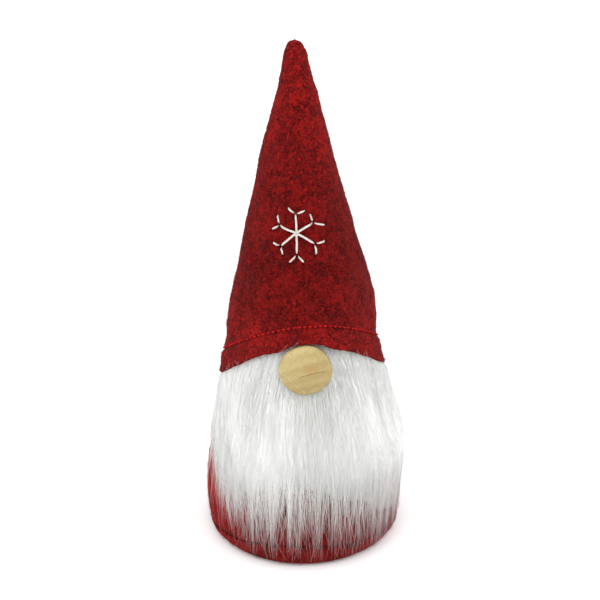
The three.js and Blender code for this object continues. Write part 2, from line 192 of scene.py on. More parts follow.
# The darker and the lighter colour of fibres, threads and paper.
HAT_FIBRES = (0.09, 0.004, 0.004), (0.34, 0.016, 0.014)
BODY_FIBRES = (0.15, 0.007, 0.007), (0.42, 0.022, 0.02)
HEM_RED = (0.26, 0.006, 0.006), (0.60, 0.020, 0.018)
DARK_RED = (0.012, 0.002, 0.003), (0.05, 0.004, 0.004)
FLOSS_WHITE = (0.50, 0.45, 0.39), (0.80, 0.77, 0.72)
THREAD_WHITE = (0.78, 0.77, 0.72), (0.88, 0.87, 0.83)
PAPER_WHITE = (0.96, 0.96, 0.96), (0.97, 0.97, 0.97)

# Materials of the hidden nodes: the darker and the lighter colour, the scale of the grain, its
# roughness and relief, and the nodes.
STUFFINGS = ["body_stuffing", "hat_stuffing"]
INNER_MATERIALS = {
    "fur_backing": ((0.62, 0.60, 0.53), (0.78, 0.76, 0.70), 900, 0.85, 0.2, ["beard_backing"]),
    "board": ((0.27, 0.17, 0.08), (0.42, 0.29, 0.16), 500, 0.85, 0.2, ["base_board"]),
    "bag_cloth": ((0.68, 0.64, 0.54), (0.82, 0.79, 0.70), 1100, 0.85, 0.2, ["pellet_bag"]),
    "pellets": ((0.45, 0.50, 0.52), (0.78, 0.82, 0.84), 260, 0.4, 1.0, ["pellet_fill"]),
    "fibre_fill": ((0.72, 0.72, 0.7), (0.92, 0.92, 0.9), 320, 0.9, 1.2, STUFFINGS),
    "hot_glue": ((0.66, 0.60, 0.38), (0.80, 0.75, 0.55), 200, 0.25, 0.1, ["nose_glue_pad"]),
}

# Camera.
CAMERA_PLACE = (-1.6, -450, 303.5)
CAMERA_PITCH = 21.55
CAMERA_LENS = 57.36
CAMERA_SENSOR = 36
CAMERA_NEAR = 10

# Studio. Each light's turn about the gnome, its angle above the floor and its strength.
WORLD_STRENGTH = 1.2
FLOOR_REACH = 6000
SOFT_LIGHT_ANGLE = 50
SOFT_LIGHTS = {"left": (-62, 38, 0.50), "right": (68, 40, 0.55), "top": (-20, 75, 0.42)}


# ---- Numbers ----


def curve_through(*knots):
    """A smooth function through (place, value) knots, flat beyond its ends."""
    at, value = np.array(knots, float).T
    slope = np.gradient(value, at)

    def curve(x):
        x = np.clip(x, at[0], at[-1])
        i = np.clip(np.searchsorted(at, x) - 1, 0, len(at) - 2)
        width = at[i + 1] - at[i]
        t = (x - at[i]) / width
        start = (2 * t**3 - 3 * t**2 + 1) * value[i] + (t**3 - 2 * t**2 + t) * width * slope[i]
        end = (3 * t**2 - 2 * t**3) * value[i + 1] + (t**3 - t**2) * width * slope[i + 1]
        return start + end

    return curve


def smoothstep(x, low, high):
    t = np.clip((x - low) / (high - low), 0, 1)
    return t * t * (3 - 2 * t)


def bell(x, width):
    """1 at 0, and falling smoothly to nothing a few widths away."""
    return np.exp(-((x / width) ** 2))


def ripples(places, wavelength, seed, count=24):
    """Smooth noise of about -1 to 1 at places, made of plane waves in random directions."""
    rng = np.random.default_rng(seed)
    ways = rng.normal(size=(count, 3))
    turns_per_mm = rng.uniform(0.6, 1.5, (count, 1)) / np.linalg.norm(ways, axis=1, keepdims=True)
    ways *= TAU / wavelength * turns_per_mm
    phases = rng.uniform(0, TAU, count)
    total = np.zeros(places.shape[:-1])
    for way, phase in zip(ways, phases):
        total += np.cos(places @ way + phase)
    return total / math.sqrt(count / 2)


def place(turn, radius, height):
    """The point at a turn from the front, a distance from the axis and a height."""
    return np.stack(np.broadcast_arrays(radius * np.sin(turn), -radius * np.cos(turn), height), -1)


def unit(vectors):
    return vectors / np.maximum(np.linalg.norm(vectors, axis=-1, keepdims=True), 1e-9)


def resample(outline, spacing):
    """Points about a spacing apart along a polyline of (radius, height) pairs."""
    outline = np.array(outline, float)
    length = np.concatenate([[0], np.cumsum(np.linalg.norm(np.diff(outline, axis=0), axis=1))])
    at = np.linspace(0, length[-1], max(2, int(length[-1] / spacing) + 1))
    return np.stack([np.interp(at, length, outline[:, k]) for k in (0, 1)], -1)


def quarter_turn(centre, across, up, start, end, count):
    """(radius, height) points on an ellipse round centre, from one angle to another in radians."""
    return [
        (centre[0] + across * math.cos(a), centre[1] + up * math.sin(a))
        for a in np.linspace(start, end, count)
    ]


# ---- Meshes ----


def new_mesh(name, points, *face_sets, smooth=True, uvs=None):
    """An object from points in millimetres and arrays of faces, each array of one face size.

    uvs gives a place on the baked picture to every corner of every face.
    """
    mesh = bpy.data.meshes.new(name)
    mesh.vertices.add(len(points))
    mesh.vertices.foreach_set("co", (np.asarray(points, float) * MM).ravel())
    sizes = np.concatenate([np.full(len(f), f.shape[1]) for f in face_sets])
    corners = np.concatenate([f.ravel() for f in face_sets])
    mesh.loops.add(len(corners))
    mesh.loops.foreach_set("vertex_index", corners)
    mesh.polygons.add(len(sizes))
    mesh.polygons.foreach_set("loop_start", np.concatenate([[0], np.cumsum(sizes)[:-1]]))
    mesh.polygons.foreach_set("use_smooth", np.full(len(sizes), smooth))
    if uvs is not None:
        mesh.uv_layers.new(name="OFBake").data.foreach_set("uv", np.asarray(uvs, float).ravel())
    mesh.update(calc_edges=True)
    mesh.validate()
    piece = bpy.data.objects.new(name, mesh)
    bpy.context.scene.collection.objects.link(piece)
    return piece


def grid_faces(rows, columns):
    """Quads of a grid of rows whose columns close on themselves. Rows run up on the outside."""
    row, column = np.meshgrid(np.arange(rows - 1), np.arange(columns), indexing="ij")
    after = (column + 1) % columns
    low, high = row * columns, (row + 1) * columns
    return np.stack([low + column, low + after, high + after, high + column], -1).reshape(-1, 4)


def grid_uvs(rows, columns):
    """The corners' places of grid_faces, with the columns side by side."""
    row, column = np.meshgrid(np.arange(rows - 1), np.arange(columns), indexing="ij")
    corners = [(column, row), (column + 1, row), (column + 1, row + 1), (column, row + 1)]
    places = np.stack([np.stack([u / columns, v / (rows - 1)], -1) for u, v in corners], -2)
    return places.reshape(-1, 2)


def revolved(name, grid, capped=True):
    """A closed object from a grid [row, column, xyz] that goes round the axis.

    Capped grids start and end at a single point on the axis. Others join their last row to
    their first.
    """
    rows, columns = grid.shape[:2]
    if not capped:
        looped = grid_faces(rows + 1, columns) % (rows * columns)
        return new_mesh(name, grid.reshape(-1, 3), looped, uvs=grid_uvs(rows + 1, columns))
    inner = grid[1:-1].reshape(-1, 3)
    points = np.concatenate([inner, grid[:1, 0], grid[-1:, 0]])
    column = np.arange(columns)
    after = (column + 1) % columns
    first, last = len(inner), len(inner) + 1
    top = (rows - 3) * columns
    foot = np.stack([np.full(columns, first), after, column], -1)
    head = np.stack([top + column, top + after, np.full(columns, last)], -1)
    wall_uvs = grid_uvs(rows - 2, columns) * (1, 0.98) + (0, 0.01)
    foot_uvs = np.stack([[(c + 0.5, 0), (c + 1, 0.01), (c, 0.01)] for c in column]) / (columns, 1)
    head_uvs = np.stack([[(c, 0.99), (c + 1, 0.99), (c + 0.5, 1)] for c in column]) / (columns, 1)
    uvs = np.concatenate([wall_uvs, foot_uvs.reshape(-1, 2), head_uvs.reshape(-1, 2)])
    return new_mesh(name, points, grid_faces(rows - 2, columns), foot, head, uvs=uvs)


def outward(grid):
    """Normals of a grid [row, column, xyz] round the axis whose rows run up on the outside."""
    along = np.gradient(grid, axis=0)
    across = np.roll(grid, -1, axis=1) - np.roll(grid, 1, axis=1)
    return unit(np.cross(across, along))


def strand_uvs(count, steps, sides):
    """A small cell of the baked picture for each of count strands made by strands()."""
    across = math.ceil(math.sqrt(count))
    cell = np.stack([np.arange(count) % across, np.arange(count) // across], -1)[:, None]
    wall = grid_uvs(steps, sides) * (0.8, 0.8) + (0.1, 0.1)
    cap = np.stack([np.linspace(0.1, 0.9, sides), np.full(sides, 0.05)], -1)
    corner_sets = (wall, cap, cap + (0, 0.88))
    return np.concatenate([((cell + corners) / across).reshape(-1, 2) for corners in corner_sets])


def strands(name, paths, radii, sides=3):
    """One object of closed threads from paths [thread, step, xyz] and radii [thread, step]."""
    count, steps = paths.shape[:2]
    along = unit(np.gradient(paths, axis=1))
    side = np.cross(along, np.roll(along[:, :1], 1, axis=2) + np.array([0.31, 0.17, 0.05]))
    side = unit(side - along * (side * along).sum(-1, keepdims=True))
    other = np.cross(along, side)
    angles = np.arange(sides) * TAU / sides
    ring = side[:, :, None] * np.cos(angles)[:, None] + other[:, :, None] * np.sin(angles)[:, None]
    points = paths[:, :, None] + ring * radii[:, :, None, None]
    first = np.arange(count)[:, None, None] * steps * sides
    quads = (first + grid_faces(steps, sides)).reshape(-1, 4)
    start = (first[:, 0] + np.arange(sides)[::-1]).reshape(-1, sides)
    end = (first[:, 0] + (steps - 1) * sides + np.arange(sides)).reshape(-1, sides)
    uvs = strand_uvs(count, steps, sides)
    return new_mesh(name, points.reshape(-1, 3), quads, start, end, uvs=uvs)


# ---- The felt's surfaces ----

body_wall = curve_through(
    (0, 51.2), (8, 51.4), (20, 51.4), (40, 49.8), (55, 46.3), (70, 41.8), (80, 37.6), (90, 33.6),
    (102, 30.9), (125, 29.0), (138, 24.8), (146, 17), (BODY_TOP, 9),
)


def body_radius(height):
    """The body's outside radius, rounded under at the bottom."""
    under = np.clip(1 - np.asarray(height, float) / BASE_ROUNDING, 0, 1)
    return body_wall(height) - BASE_ROUNDING * (1 - np.sqrt(1 - under**2))


def base_stitch_line(turn):
    return BASE_STITCH_HEIGHT + BASE_STITCH_WAVE * np.cos(2 * turn)


# The hat's middle line leans slightly to -X towards the tip.
lean_at = curve_through(
    (80, 0), (109, -0.5), (126, -0.6), (152, -0.9), (178, -1.8), (203, -2.9), (222, -3.1),
    (240, -3.6), (254, -4.0),
)

cone_radius = curve_through(
    (75, 42.4), (105, 38.8), (126, 36.8), (156, 29.7), (187, 21.6), (215, 14.0),
    (DOME_BOTTOM, TIP_RADIUS),
)


def arch_at(turn):
    return BRIM_ARCH * np.cos(turn) + BRIM_PEAK * np.cos(2 * turn) + BRIM_TILT * np.sin(turn)


def nose_lift(turn, above_edge):
    """How far the nose pushes the brim up over itself, a distance above the brim's edge."""
    over_nose = np.exp(-(((turn - NOSE_LIFT_TURN) / NOSE_LIFT_WIDTH) ** 4))
    return NOSE_LIFT * over_nose * (1 - smoothstep(above_edge, 0, NOSE_LIFT_REACH))


def brim_edge(turn):
    return BRIM_HEIGHT + arch_at(turn) + nose_lift(turn, 0)


def flare_at(turn, above_edge):
    return (FLARE + FRONT_FLARE * np.cos(turn)) * np.exp(-np.maximum(above_edge, 0) / FLARE_REACH)


def on_plain_hat(turn, radius, height):
    """A place on the level, upright hat, moved to the arched and leaning one."""
    share = 1 - smoothstep(height, BRIM_HEIGHT, ARCH_ENDS)
    raised = height + share * arch_at(turn) + nose_lift(turn, height - BRIM_HEIGHT)
    grown = cone_radius(raised) - cone_radius(height) + flare_at(turn, height - BRIM_HEIGHT)
    moved = place(turn, radius + np.where(height < ARCH_ENDS, grown, 0), raised)
    moved[..., 0] += lean_at(raised)
    return moved


def on_hat_front(across, up, proud=0.0):
    """A place over the outside of the hat, across and up from the snowflake's centre."""
    height = FLAKE_HEIGHT + up * math.cos(math.atan(CONE_TAPER))
    turn = FLAKE_TURN + across / cone_radius(height)
    moved = place(turn, cone_radius(height) + proud, height)
    moved[..., 0] += lean_at(height)
    return moved


def flake_stitches():
    """(name, start, end) of the snowflake's stitches, in places across and up from its centre."""
    stitches = []
    for number, (turn, length, forks) in enumerate(FLAKE_ARMS, 1):
        tip = length * np.array([math.cos(math.radians(turn)), math.sin(math.radians(turn))])
        stitches.append((f"snowflake_arm_{number}", tip * 0.02, tip))
        for side, (fork_turn, fork_length) in zip("ab", forks):
            way = np.array([math.cos(math.radians(fork_turn)), math.sin(math.radians(fork_turn))])
            ends = tip + way * FORK_GAP, tip + way * (FORK_GAP + fork_length)
            stitches.append((f"snowflake_fork_{number}{side}", *ends))
    return stitches


def felt_ripples(grid, seed):
    """How far a felt surface stands out from its plain shape: soft waves and matted lumps."""
    soft = 0.42 * ripples(grid, 62, seed) + 0.16 * ripples(grid, 20, seed + 1)
    matted = 0.07 * ripples(grid, 4.2, seed + 2, 32) + 0.07 * ripples(grid, 1.9, seed + 3, 40)
    return soft + matted


def on_felt(places, seed):
    """Places on a felt surface's plain shape, moved in or out with its soft waves."""
    outwards = unit(places * np.array([1, 1, 0]))
    return places + outwards * felt_ripples(places, seed)[..., None]


def stitch_places(count):
    """The turns of the middles of a ring of stitches, starting just off the back seam."""
    return math.pi + (np.arange(count) + 0.5) * TAU / count


def ring_of_stitches(name, place_at, count, thickness):
    """A running stitch. place_at(turn, proud) gives places over the felt along its line."""
    share = np.linspace(-0.5, 0.5, 7)
    rng = np.random.default_rng(count)
    turns = stitch_places(count)[:, None] + share * TAU / count * STITCH_SHARE
    proud = 0.30 - 1.15 * np.abs(share) ** 2.4 * 4 + rng.normal(0, 0.06, (count, 1))
    paths = place_at(turns, proud)
    radii = thickness * rng.uniform(0.85, 1.15, (count, 1)) * (1 - 0.5 * np.abs(share * 2) ** 3)
    return strands(name, paths, radii, sides=6)


# ---- Stuffing ----


def blown_up(grid, pinned, growth, reach):
    """How far each point of a closed skin moves once its cloth is blown up like a stuffed one.

    pinned is 1 where the skin is sewn or rests on something. growth is how much larger the
    cloth was cut than its shape, and reach is the furthest that a point may move. The even
    swelling of each row is left out, since the outlines are those of the filled gnome.
    """
    skin = revolved("skin", grid)
    add_cloth(skin, pinned, growth)
    shift = np.zeros_like(grid)
    shift[1:-1] = settled_places(skin)[:-2].reshape(shift[1:-1].shape) - grid[1:-1]
    bpy.data.objects.remove(skin)
    outwards = unit(grid * np.array([1, 1, 0]))
    shift -= outwards * (shift * outwards).sum(-1).mean(axis=1)[:, None, None]
    far = np.linalg.norm(shift, axis=-1, keepdims=True)
    return shift * np.minimum(1, reach / np.maximum(far, 1e-6))


def add_cloth(skin, pinned, growth):
    """Makes a skin of cloth with air pressed into it. Its two end points are pinned as well."""
    group = skin.vertex_groups.new(name="pinned")
    for index, weight in enumerate([*pinned[1:-1].ravel(), 1.0, 1.0]):
        group.add([index], float(weight), "REPLACE")
    cloth = skin.modifiers.new("stuffing", "CLOTH")
    cloth.settings.use_pressure = True
    cloth.settings.uniform_pressure_force = STUFFING_PRESSURE
    cloth.settings.vertex_group_mass = group.name
    cloth.settings.effector_weights.gravity = 0
    cloth.settings.shrink_min = -growth
    cloth.point_cache.frame_end = STUFFING_FRAMES


def settled_places(skin):
    """Where a skin's points are, in millimetres, after its cloth has run."""
    scene = bpy.context.scene
    for step in range(1, STUFFING_FRAMES + 1):
        scene.frame_set(step)
    settled = skin.evaluated_get(bpy.context.evaluated_depsgraph_get()).data.vertices
    points = np.empty(3 * len(settled))
    settled.foreach_get("co", points)
    scene.frame_set(1)
    return (points / MM).reshape(-1, 3)


def spline_weights(count, places, closed):
    """Weights [place, point] that draw a smooth curve through count points at places from 0."""
    first = np.floor(places).astype(int)
    t = places - first
    shares = (-t + 2 * t**2 - t**3, 2 - 5 * t**2 + 3 * t**3, t + 4 * t**2 - 3 * t**3, t**3 - t**2)
    weights = np.zeros((len(places), count))
    for offset, share in enumerate(shares, -1):
        column = (first + offset) % count if closed else np.clip(first + offset, 0, count - 1)
        np.add.at(weights, (np.arange(len(places)), column), share / 2)
    return weights


def finer(grid, rows, columns):
    """A coarse grid that goes round the axis, drawn smoothly with more rows and columns."""
    up = spline_weights(grid.shape[0], np.linspace(0, grid.shape[0] - 1, rows), False)
    round_axis = spline_weights(grid.shape[1], np.arange(columns) * grid.shape[1] / columns, True)
    return np.einsum("ri,cj,ijk->rck", up, round_axis, grid)


# ---- Body ----


def body_outline():
    """(radius, height) of the body felt's outside, up from the floor to the ruff's edge."""
    foot = BASE_ROUNDING * (1 - np.cos(np.linspace(0, math.pi / 2, 9)))
    heights = np.concatenate([foot, np.arange(8, 138, 2), np.linspace(138, BODY_TOP, 12)])
    wall = [(body_radius(h), h) for h in heights]
    neck = [(7.0, BODY_TOP + 1.3), (NECK_RADIUS, BODY_TOP + 2.2), (7.0, BODY_TOP + 3.6)]
    return wall + neck + [(7.6, RUFF_TOP)]


def inset(outline, depth):
    """A (radius, height) outline moved towards the axis by depth."""
    outline = np.array(outline, float)
    along = unit(np.gradient(outline, axis=0))
    return outline + depth * np.stack([-along[:, 1], along[:, 0]], -1)


def base_stitch_count():
    return round(TAU * body_radius(BASE_STITCH_HEIGHT) / STITCH_PITCH)


def sewn_groove(turn, distance, count, width, depth):
    """How far the felt sinks beside a running stitch, deepest at the holes between stitches."""
    holes = np.cos((turn - math.pi) * count) ** 2
    near_hole = np.cos((turn - math.pi) * count / 2) ** 8
    return -bell(distance, width) * (depth * (0.55 + 0.45 * near_hole) + 0.06 * holes)


def back_seam(turn, radius):
    """The valley of a seam up the back, with the felt puffed a little beside it."""
    away = (np.abs(turn) - math.pi) * radius
    return -1.3 * bell(away, 0.9) + 0.45 * bell(np.abs(away) - 3.0, 2.0)


def turns_round(count):
    """Turns all the way round from the back, as a row of a grid."""
    return np.linspace(-math.pi, math.pi, count, endpoint=False)[None]


def near_seams(turns, radius, from_stitches):
    """1 on a row of stitches and on the back seam, falling to 0 beside them."""
    from_back = (math.pi - np.abs(turns)) * radius
    return np.maximum(bell(from_stitches, SEAM_HOLD), bell(from_back, SEAM_HOLD))


def body_filling(rows, columns):
    """How far the stuffing pushes out the body's skin between its seams."""
    turns = turns_round(SKIN_AROUND)
    outline = np.array([(0, 0), *resample(body_outline(), SKIN_SPACING), (0, RUFF_TOP)])
    radius, height = outline[:, :1], outline[:, 1:]
    at_ends = (height < 1) | (height > 146)
    pinned = np.maximum(near_seams(turns, radius, height - base_stitch_line(turns)), at_ends)
    shift = blown_up(place(turns, radius, height), pinned, growth=0.03, reach=1.8)
    return finer(shift[1:-1], rows, columns)


def gathers(turns, radius, height):
    """The pleats where the top of the body is drawn together, from -1 to 1."""
    gathered = smoothstep(height, GATHER_START, GATHER_END) * np.minimum(1, radius / 9)
    uneven = 0.9 * np.sin(3 * turns + 0.5) + 0.6 * np.sin(5 * turns)
    return gathered * np.cos(PLEATS * turns + uneven)


def body_relief(grid, turns, radius, height):
    """How far the body's felt stands out: its surface, its sewn lines and its gathers."""
    proud = felt_ripples(grid, BODY_FELT_SEED) * smoothstep(height, -1, 5)
    over_stitches = height - base_stitch_line(turns)
    proud += sewn_groove(turns, over_stitches, base_stitch_count(), *BASE_GROOVE)
    seamed = smoothstep(height, 4, 9) * (1 - smoothstep(height, 128, 146))
    proud += back_seam(turns, radius) * seamed
    return proud + PLEAT_DEPTH * gathers(turns, radius, height)


def body_lining(turns):
    """The inside of the body's felt, down from the ruff."""
    outline = resample(inset(body_outline(), FELT)[::-1], 2.4)
    radius, height = outline[:, :1], outline[:, 1:]
    within = place(turns, radius, height)
    folds = 1.1 * gathers(turns, radius, height)
    return within + outward(within[::-1])[::-1] * folds[..., None]


def body_grid(around=400, spacing=0.85):
    """(the outside's grid, the whole closed grid) of the body's felt."""
    turns = turns_round(around)
    outline = resample(body_outline(), spacing)
    radius, height = outline[:, :1], outline[:, 1:]
    grid = place(turns, radius, height)
    free = smoothstep(height - base_stitch_line(turns), 0, 10)
    filling = body_filling(len(outline), around) * free[..., None]
    proud = body_relief(grid, turns, radius, height)
    grid = grid + outward(grid) * proud[..., None] + filling
    return grid, np.concatenate([grid, body_lining(turns)])


def body_stitch_place(turn, proud):
    height = base_stitch_line(turn)
    return on_felt(place(turn, body_radius(height) - 0.25 + proud, height), BODY_FELT_SEED)


# ---- Hat ----


def hat_outline(spacing_inside=2.2, spacing=0.72):
    """The level hat's profile: down the inside from the tip, round the fold and up the outside."""
    hem_top = BRIM_HEIGHT + HEM_HEIGHT
    lift = np.linspace(0, math.pi / 2, 16)
    across = TIP_RADIUS * np.cos(lift) ** TIP_POINT
    dome = list(zip(across, DOME_BOTTOM + (HAT_TIP - DOME_BOTTOM) * np.sin(lift)))
    inner_dome = [(0.62 * r, h - FELT - 0.4) for r, h in dome[::-1]]
    foot_radius = cone_radius(BRIM_HEIGHT)
    inner_heights = np.linspace(DOME_BOTTOM - 6, hem_top + 0.8, 40)
    inner_wall = [(cone_radius(h) - FELT, h) for h in inner_heights]
    hem_heights = (hem_top, hem_top - 0.8, hem_top - 6, BRIM_HEIGHT + 2.6)
    hem_inside = [(cone_radius(h) - 2 * FELT, h) for h in hem_heights]
    fold = quarter_turn((foot_radius - FELT, BRIM_HEIGHT + FELT), FELT, FELT, -math.pi, 0, 14)
    outer_heights = np.linspace(BRIM_HEIGHT + FELT + 0.4, DOME_BOTTOM, 60)
    outer_wall = [(cone_radius(h), h) for h in outer_heights]
    inside = resample(inner_dome + inner_wall + hem_inside, spacing_inside)
    outside = resample(fold + outer_wall + dome[1:], spacing)
    return inside, outside


def hem_stitch_line(turn):
    """How far above the brim the hem is sewn. The line rises towards both sides."""
    return HEM_STITCH_HEIGHT + HEM_STITCH_TILT * np.sin(turn) + HEM_STITCH_RISE * np.sin(turn) ** 2


def hem_stitch_count():
    return round(TAU * cone_radius(BRIM_HEIGHT + HEM_STITCH_HEIGHT) / STITCH_PITCH)


def tip_crease(turn, height):
    """A small fold in the felt on the gnome's left side, below the tip."""
    fold = 0.35 * bell(height - 230, 2.6) - 0.45 * bell(height - 236, 3.6)
    return bell(turn - 1.45, 0.55) * fold


def needle_holes(grid):
    """How far the felt sinks at the ends of the snowflake's stitches."""
    sunk = np.zeros(grid.shape[:2])
    for name, start, end in flake_stitches():
        for spot in (start, end) if "fork" in name else (end,):
            away = np.linalg.norm(grid - on_hat_front(*spot), axis=-1)
            sunk -= NEEDLE_HOLE * bell(away, NEEDLE_HOLE_WIDTH)
        middle = np.linalg.norm(grid - on_hat_front(*((start + end) / 2)), axis=-1)
        sunk -= FLOSS_VALLEY * bell(middle, np.linalg.norm(end - start) / 2)
    return np.maximum(sunk, -DEEPEST_HOLE)


def hat_filling(rows, columns, outside):
    """How far the head and the wad push out the hat's felt, above its hem."""
    turns = turns_round(SKIN_AROUND)
    outline = resample(outside, SKIN_SPACING)
    outline = np.concatenate([[(0, outline[0, 1])], outline])
    radius, height = outline[:, :1], outline[:, 1:]
    above = height - BRIM_HEIGHT
    skin = on_plain_hat(turns, radius, height)
    skin[0] = (0, 0, outline[0, 1])
    pinned = np.maximum(near_seams(turns, radius, above - hem_stitch_line(turns)), above < 4)
    shift = blown_up(skin, pinned, growth=0.02, reach=1.0)
    return finer(shift[1:], rows, columns)


def hat_relief(grid, turns, radius, above):
    """How far the hat's felt stands out: its surface, its hem, its seam and its needle holes."""
    over_stitches = above - hem_stitch_line(turns)
    proud = felt_ripples(grid, HAT_FELT_SEED)
    proud += 0.7 * bell(over_stitches + 5, 4.0)
    proud += sewn_groove(turns, over_stitches + 0.5, hem_stitch_count(), *HEM_GROOVE)
    proud -= 0.45 * smoothstep(over_stitches, 0, 1.6) * (1 - smoothstep(over_stitches, 6, 24))
    proud += tip_crease(turns, above + BRIM_HEIGHT) + 0.45 * smoothstep(above, 95, 115)
    proud -= 1.2 * bell(above - 127, 14)
    single = smoothstep(over_stitches, 0, 3) * (1 - smoothstep(above, 145, 153))
    proud += back_seam(turns, radius) * (0.25 + 0.75 * single) * smoothstep(above, 1, 4)
    return (proud + needle_holes(grid)) * smoothstep(radius, 0, 2)


def hat_grid(around=300):
    """(the outside's grid, the whole closed grid) of the hat's felt."""
    turns = turns_round(around)
    inside, outside = hat_outline()
    radius, height = outside[:, :1], outside[:, 1:]
    grid = on_plain_hat(turns, radius, height)
    above = height - BRIM_HEIGHT
    from_flake = np.linalg.norm(grid - on_hat_front(0.0, 0.0), axis=-1)
    free = smoothstep(above - hem_stitch_line(turns), 0, 14) * (1 - bell(from_flake, 12))
    free = free * (1 - 0.7 * smoothstep(height, 190, 225))
    filling = hat_filling(len(outside), around, outside) * free[..., None]
    proud = hat_relief(grid, turns, radius, above)
    grid = grid + outward(grid) * proud[..., None] + filling
    within = on_plain_hat(turns, inside[:, :1], inside[:, 1:])
    return grid, np.concatenate([within, grid])


def hem_stitch_place(turn, proud):
    height = BRIM_HEIGHT + hem_stitch_line(turn)
    return on_felt(on_plain_hat(turn, cone_radius(height) - 0.1 + proud, height), HAT_FELT_SEED)


def flake_stitch(name, start, end, seed):
    """One stitch of floss: fine threads side by side with a slight twist, sunk at both ends."""
    rng = np.random.default_rng(seed)
    is_arm = "arm" in name
    share = np.linspace(0, 1, 13)
    threads, spread = (5, 0.28) if is_arm else (4, 0.22)
    line = start + (end - start) * share[:, None]
    aside = unit(np.array([start[1] - end[1], end[0] - start[0]]))
    bend = rng.normal(0, 0.10) * np.sin(share * math.pi)
    rise = np.minimum(1, np.sin(share * math.pi) ** 0.6 * 1.25)
    if is_arm:
        rise[share < 0.5] = 1
    angle = np.arange(threads)[:, None] * TAU / threads + rng.uniform(0, TAU)
    turned = angle + share * rng.uniform(1.2, 2.2)
    pinch = 0.35 + 0.65 * rise
    offset = spread * np.cos(turned) * pinch * 1.1 + bend
    lift = spread * np.sin(turned) * pinch
    flat = line[None] + offset[..., None] * aside
    proud = lift + (0.45 + 0.10 * rng.random()) * rise - 0.95 * (1 - rise)
    paths = on_felt(on_hat_front(flat[..., 0], flat[..., 1], proud), HAT_FELT_SEED)
    radii = np.broadcast_to(FLOSS_THREAD * (0.5 + 0.5 * rise), proud.shape)
    return strands(name.replace("snowflake", "flake"), paths, radii, sides=6)


# ---- Loose fibres on the felt ----


def fuzz(name, grid, count, seed):
    """Short curved fibres that stand out of a felt surface, spread evenly over its grid."""
    rng = np.random.default_rng(seed)
    normals = outward(grid)
    area = np.linalg.norm(np.cross(np.gradient(grid, axis=0), np.gradient(grid, axis=1)), axis=-1)
    picked = rng.choice(area.size, count, p=(area / area.sum()).ravel())
    root = grid.reshape(-1, 3)[picked]
    normal = normals.reshape(-1, 3)[picked]
    way = unit(np.cross(normal, rng.normal(size=(count, 3))))
    curl = np.cross(normal, way) * rng.normal(0, 0.45, (count, 1))
    share = np.linspace(0, 1, 5)[None, :, None]
    length = rng.uniform(*FUZZ_LENGTH, (count, 1, 1))
    lift = (rng.gamma(2.0, 0.14, (count, 1, 1)) + 0.05) * length
    paths = root[:, None] + length * (way[:, None] * share + curl[:, None] * share**2)
    paths = paths + normal[:, None] * (lift * np.sin(share * 2.4) - 0.08)
    paths[..., 2] = np.maximum(paths[..., 2], 0.1)
    radii = rng.uniform(*FUZZ_THICKNESS, (count, 1)) * (1 - 0.6 * share[..., 0] ** 2)
    return strands(name, paths, radii)


# ---- Beard ----

pile_radius = curve_through(
    (8, 52.6), (15, 52.8), (25, 53.0), (35, 53.1), (45, 52.6), (55, 51.2), (69, 47.6), (81, 45.0),
    (92, 42.4), (104, 40.3), (114, 39.8), (122.5, 38.6),
)

# How low the beard is thick, and how low its longest hairs hang, at a turn from the front.
thick_foot = curve_through(
    (-1.6, 95), (-1.25, 82), (-1.05, 73), (-0.9, 64), (-0.78, 54), (-0.68, 47), (-0.52, 42),
    (-0.42, 47), (0.2, 47), (0.34, 43), (0.48, 40), (0.6, 39), (0.75, 32), (0.97, 25), (1.2, 23),
    (1.6, 32),
)
longest_foot = curve_through(
    (-1.6, 45), (-1.2, 32), (-1.0, 20), (-0.88, 13), (-0.7, 8), (-0.6, 5), (-0.44, 2), (-0.23, 1),
    (0.18, -3), (0.5, -7), (0.85, -8), (1.05, -6), (1.35, 3), (1.6, 16),
)


def hem_inside(turn, height):
    """The hem's inner radius at a turn, at or above its edge."""
    flare = flare_at(turn, height - brim_edge(turn))
    return cone_radius(height) + flare - 2 * FELT + lean_at(height) * np.sin(turn)


def hair_outside(turn, height):
    """How far from the axis the beard reaches, held in by the brim above its edge."""
    brim = np.minimum(brim_edge(turn), brim_edge(0))
    below = np.maximum(0, brim - height)
    held = hem_inside(turn, np.maximum(height, brim)) - 0.5 + 4 * below
    fuller = 2 * np.sin(turn) * bell(height - 56, 22)
    free = pile_radius(height) + fuller
    return np.maximum(body_radius(height) + BACKING + 0.9, np.minimum(held, free))


def hair_roots(rng, count):
    """Turns and heights of hairs on the backing, whose bottom edge rises towards its sides."""
    turn = rng.uniform(-BACKING_TURN, BACKING_TURN, count)
    bottom = BACKING_BOTTOM + BACKING_SIDE_RISE * (turn / BACKING_TURN) ** 2
    height = bottom + (BACKING_TOP - bottom) * rng.random(count) ** 0.85
    return turn, height


def combed(turn, root):
    """How far hairs swing round: away from the nose near their roots, and in near their tips."""
    high = smoothstep(root, 86, 114)
    from_nose = 0.32 * bell(turn - 0.34, 0.30) - 0.20 * bell(turn + 0.36, 0.34)
    outwards = from_nose * high + 0.05 * turn
    inwards = 0.20 * bell(turn + 1.25, 0.40) - 0.08 * bell(turn - 1.35, 0.35)
    return outwards, inwards


def tip_heights(rng, turn, root, fringe):
    """How low each hair hangs. fringe is 0 in the thick of the beard and 1 for the longest."""
    count = len(turn)
    thick = thick_foot(turn)
    longest = longest_foot(turn)
    uneven = np.where(fringe > 0, rng.normal(0, 1, count), 0)
    hang = thick - fringe * (thick - longest) + uneven
    hang = hang + np.where(fringe > 0, 0, 5.5 * rng.gamma(1.2, 1.0, count) - 4)
    by_length = root - rng.uniform(*HAIR_LENGTH, count)
    return np.clip(np.maximum(hang, by_length), rng.uniform(0.9, 5, count), root - 12)


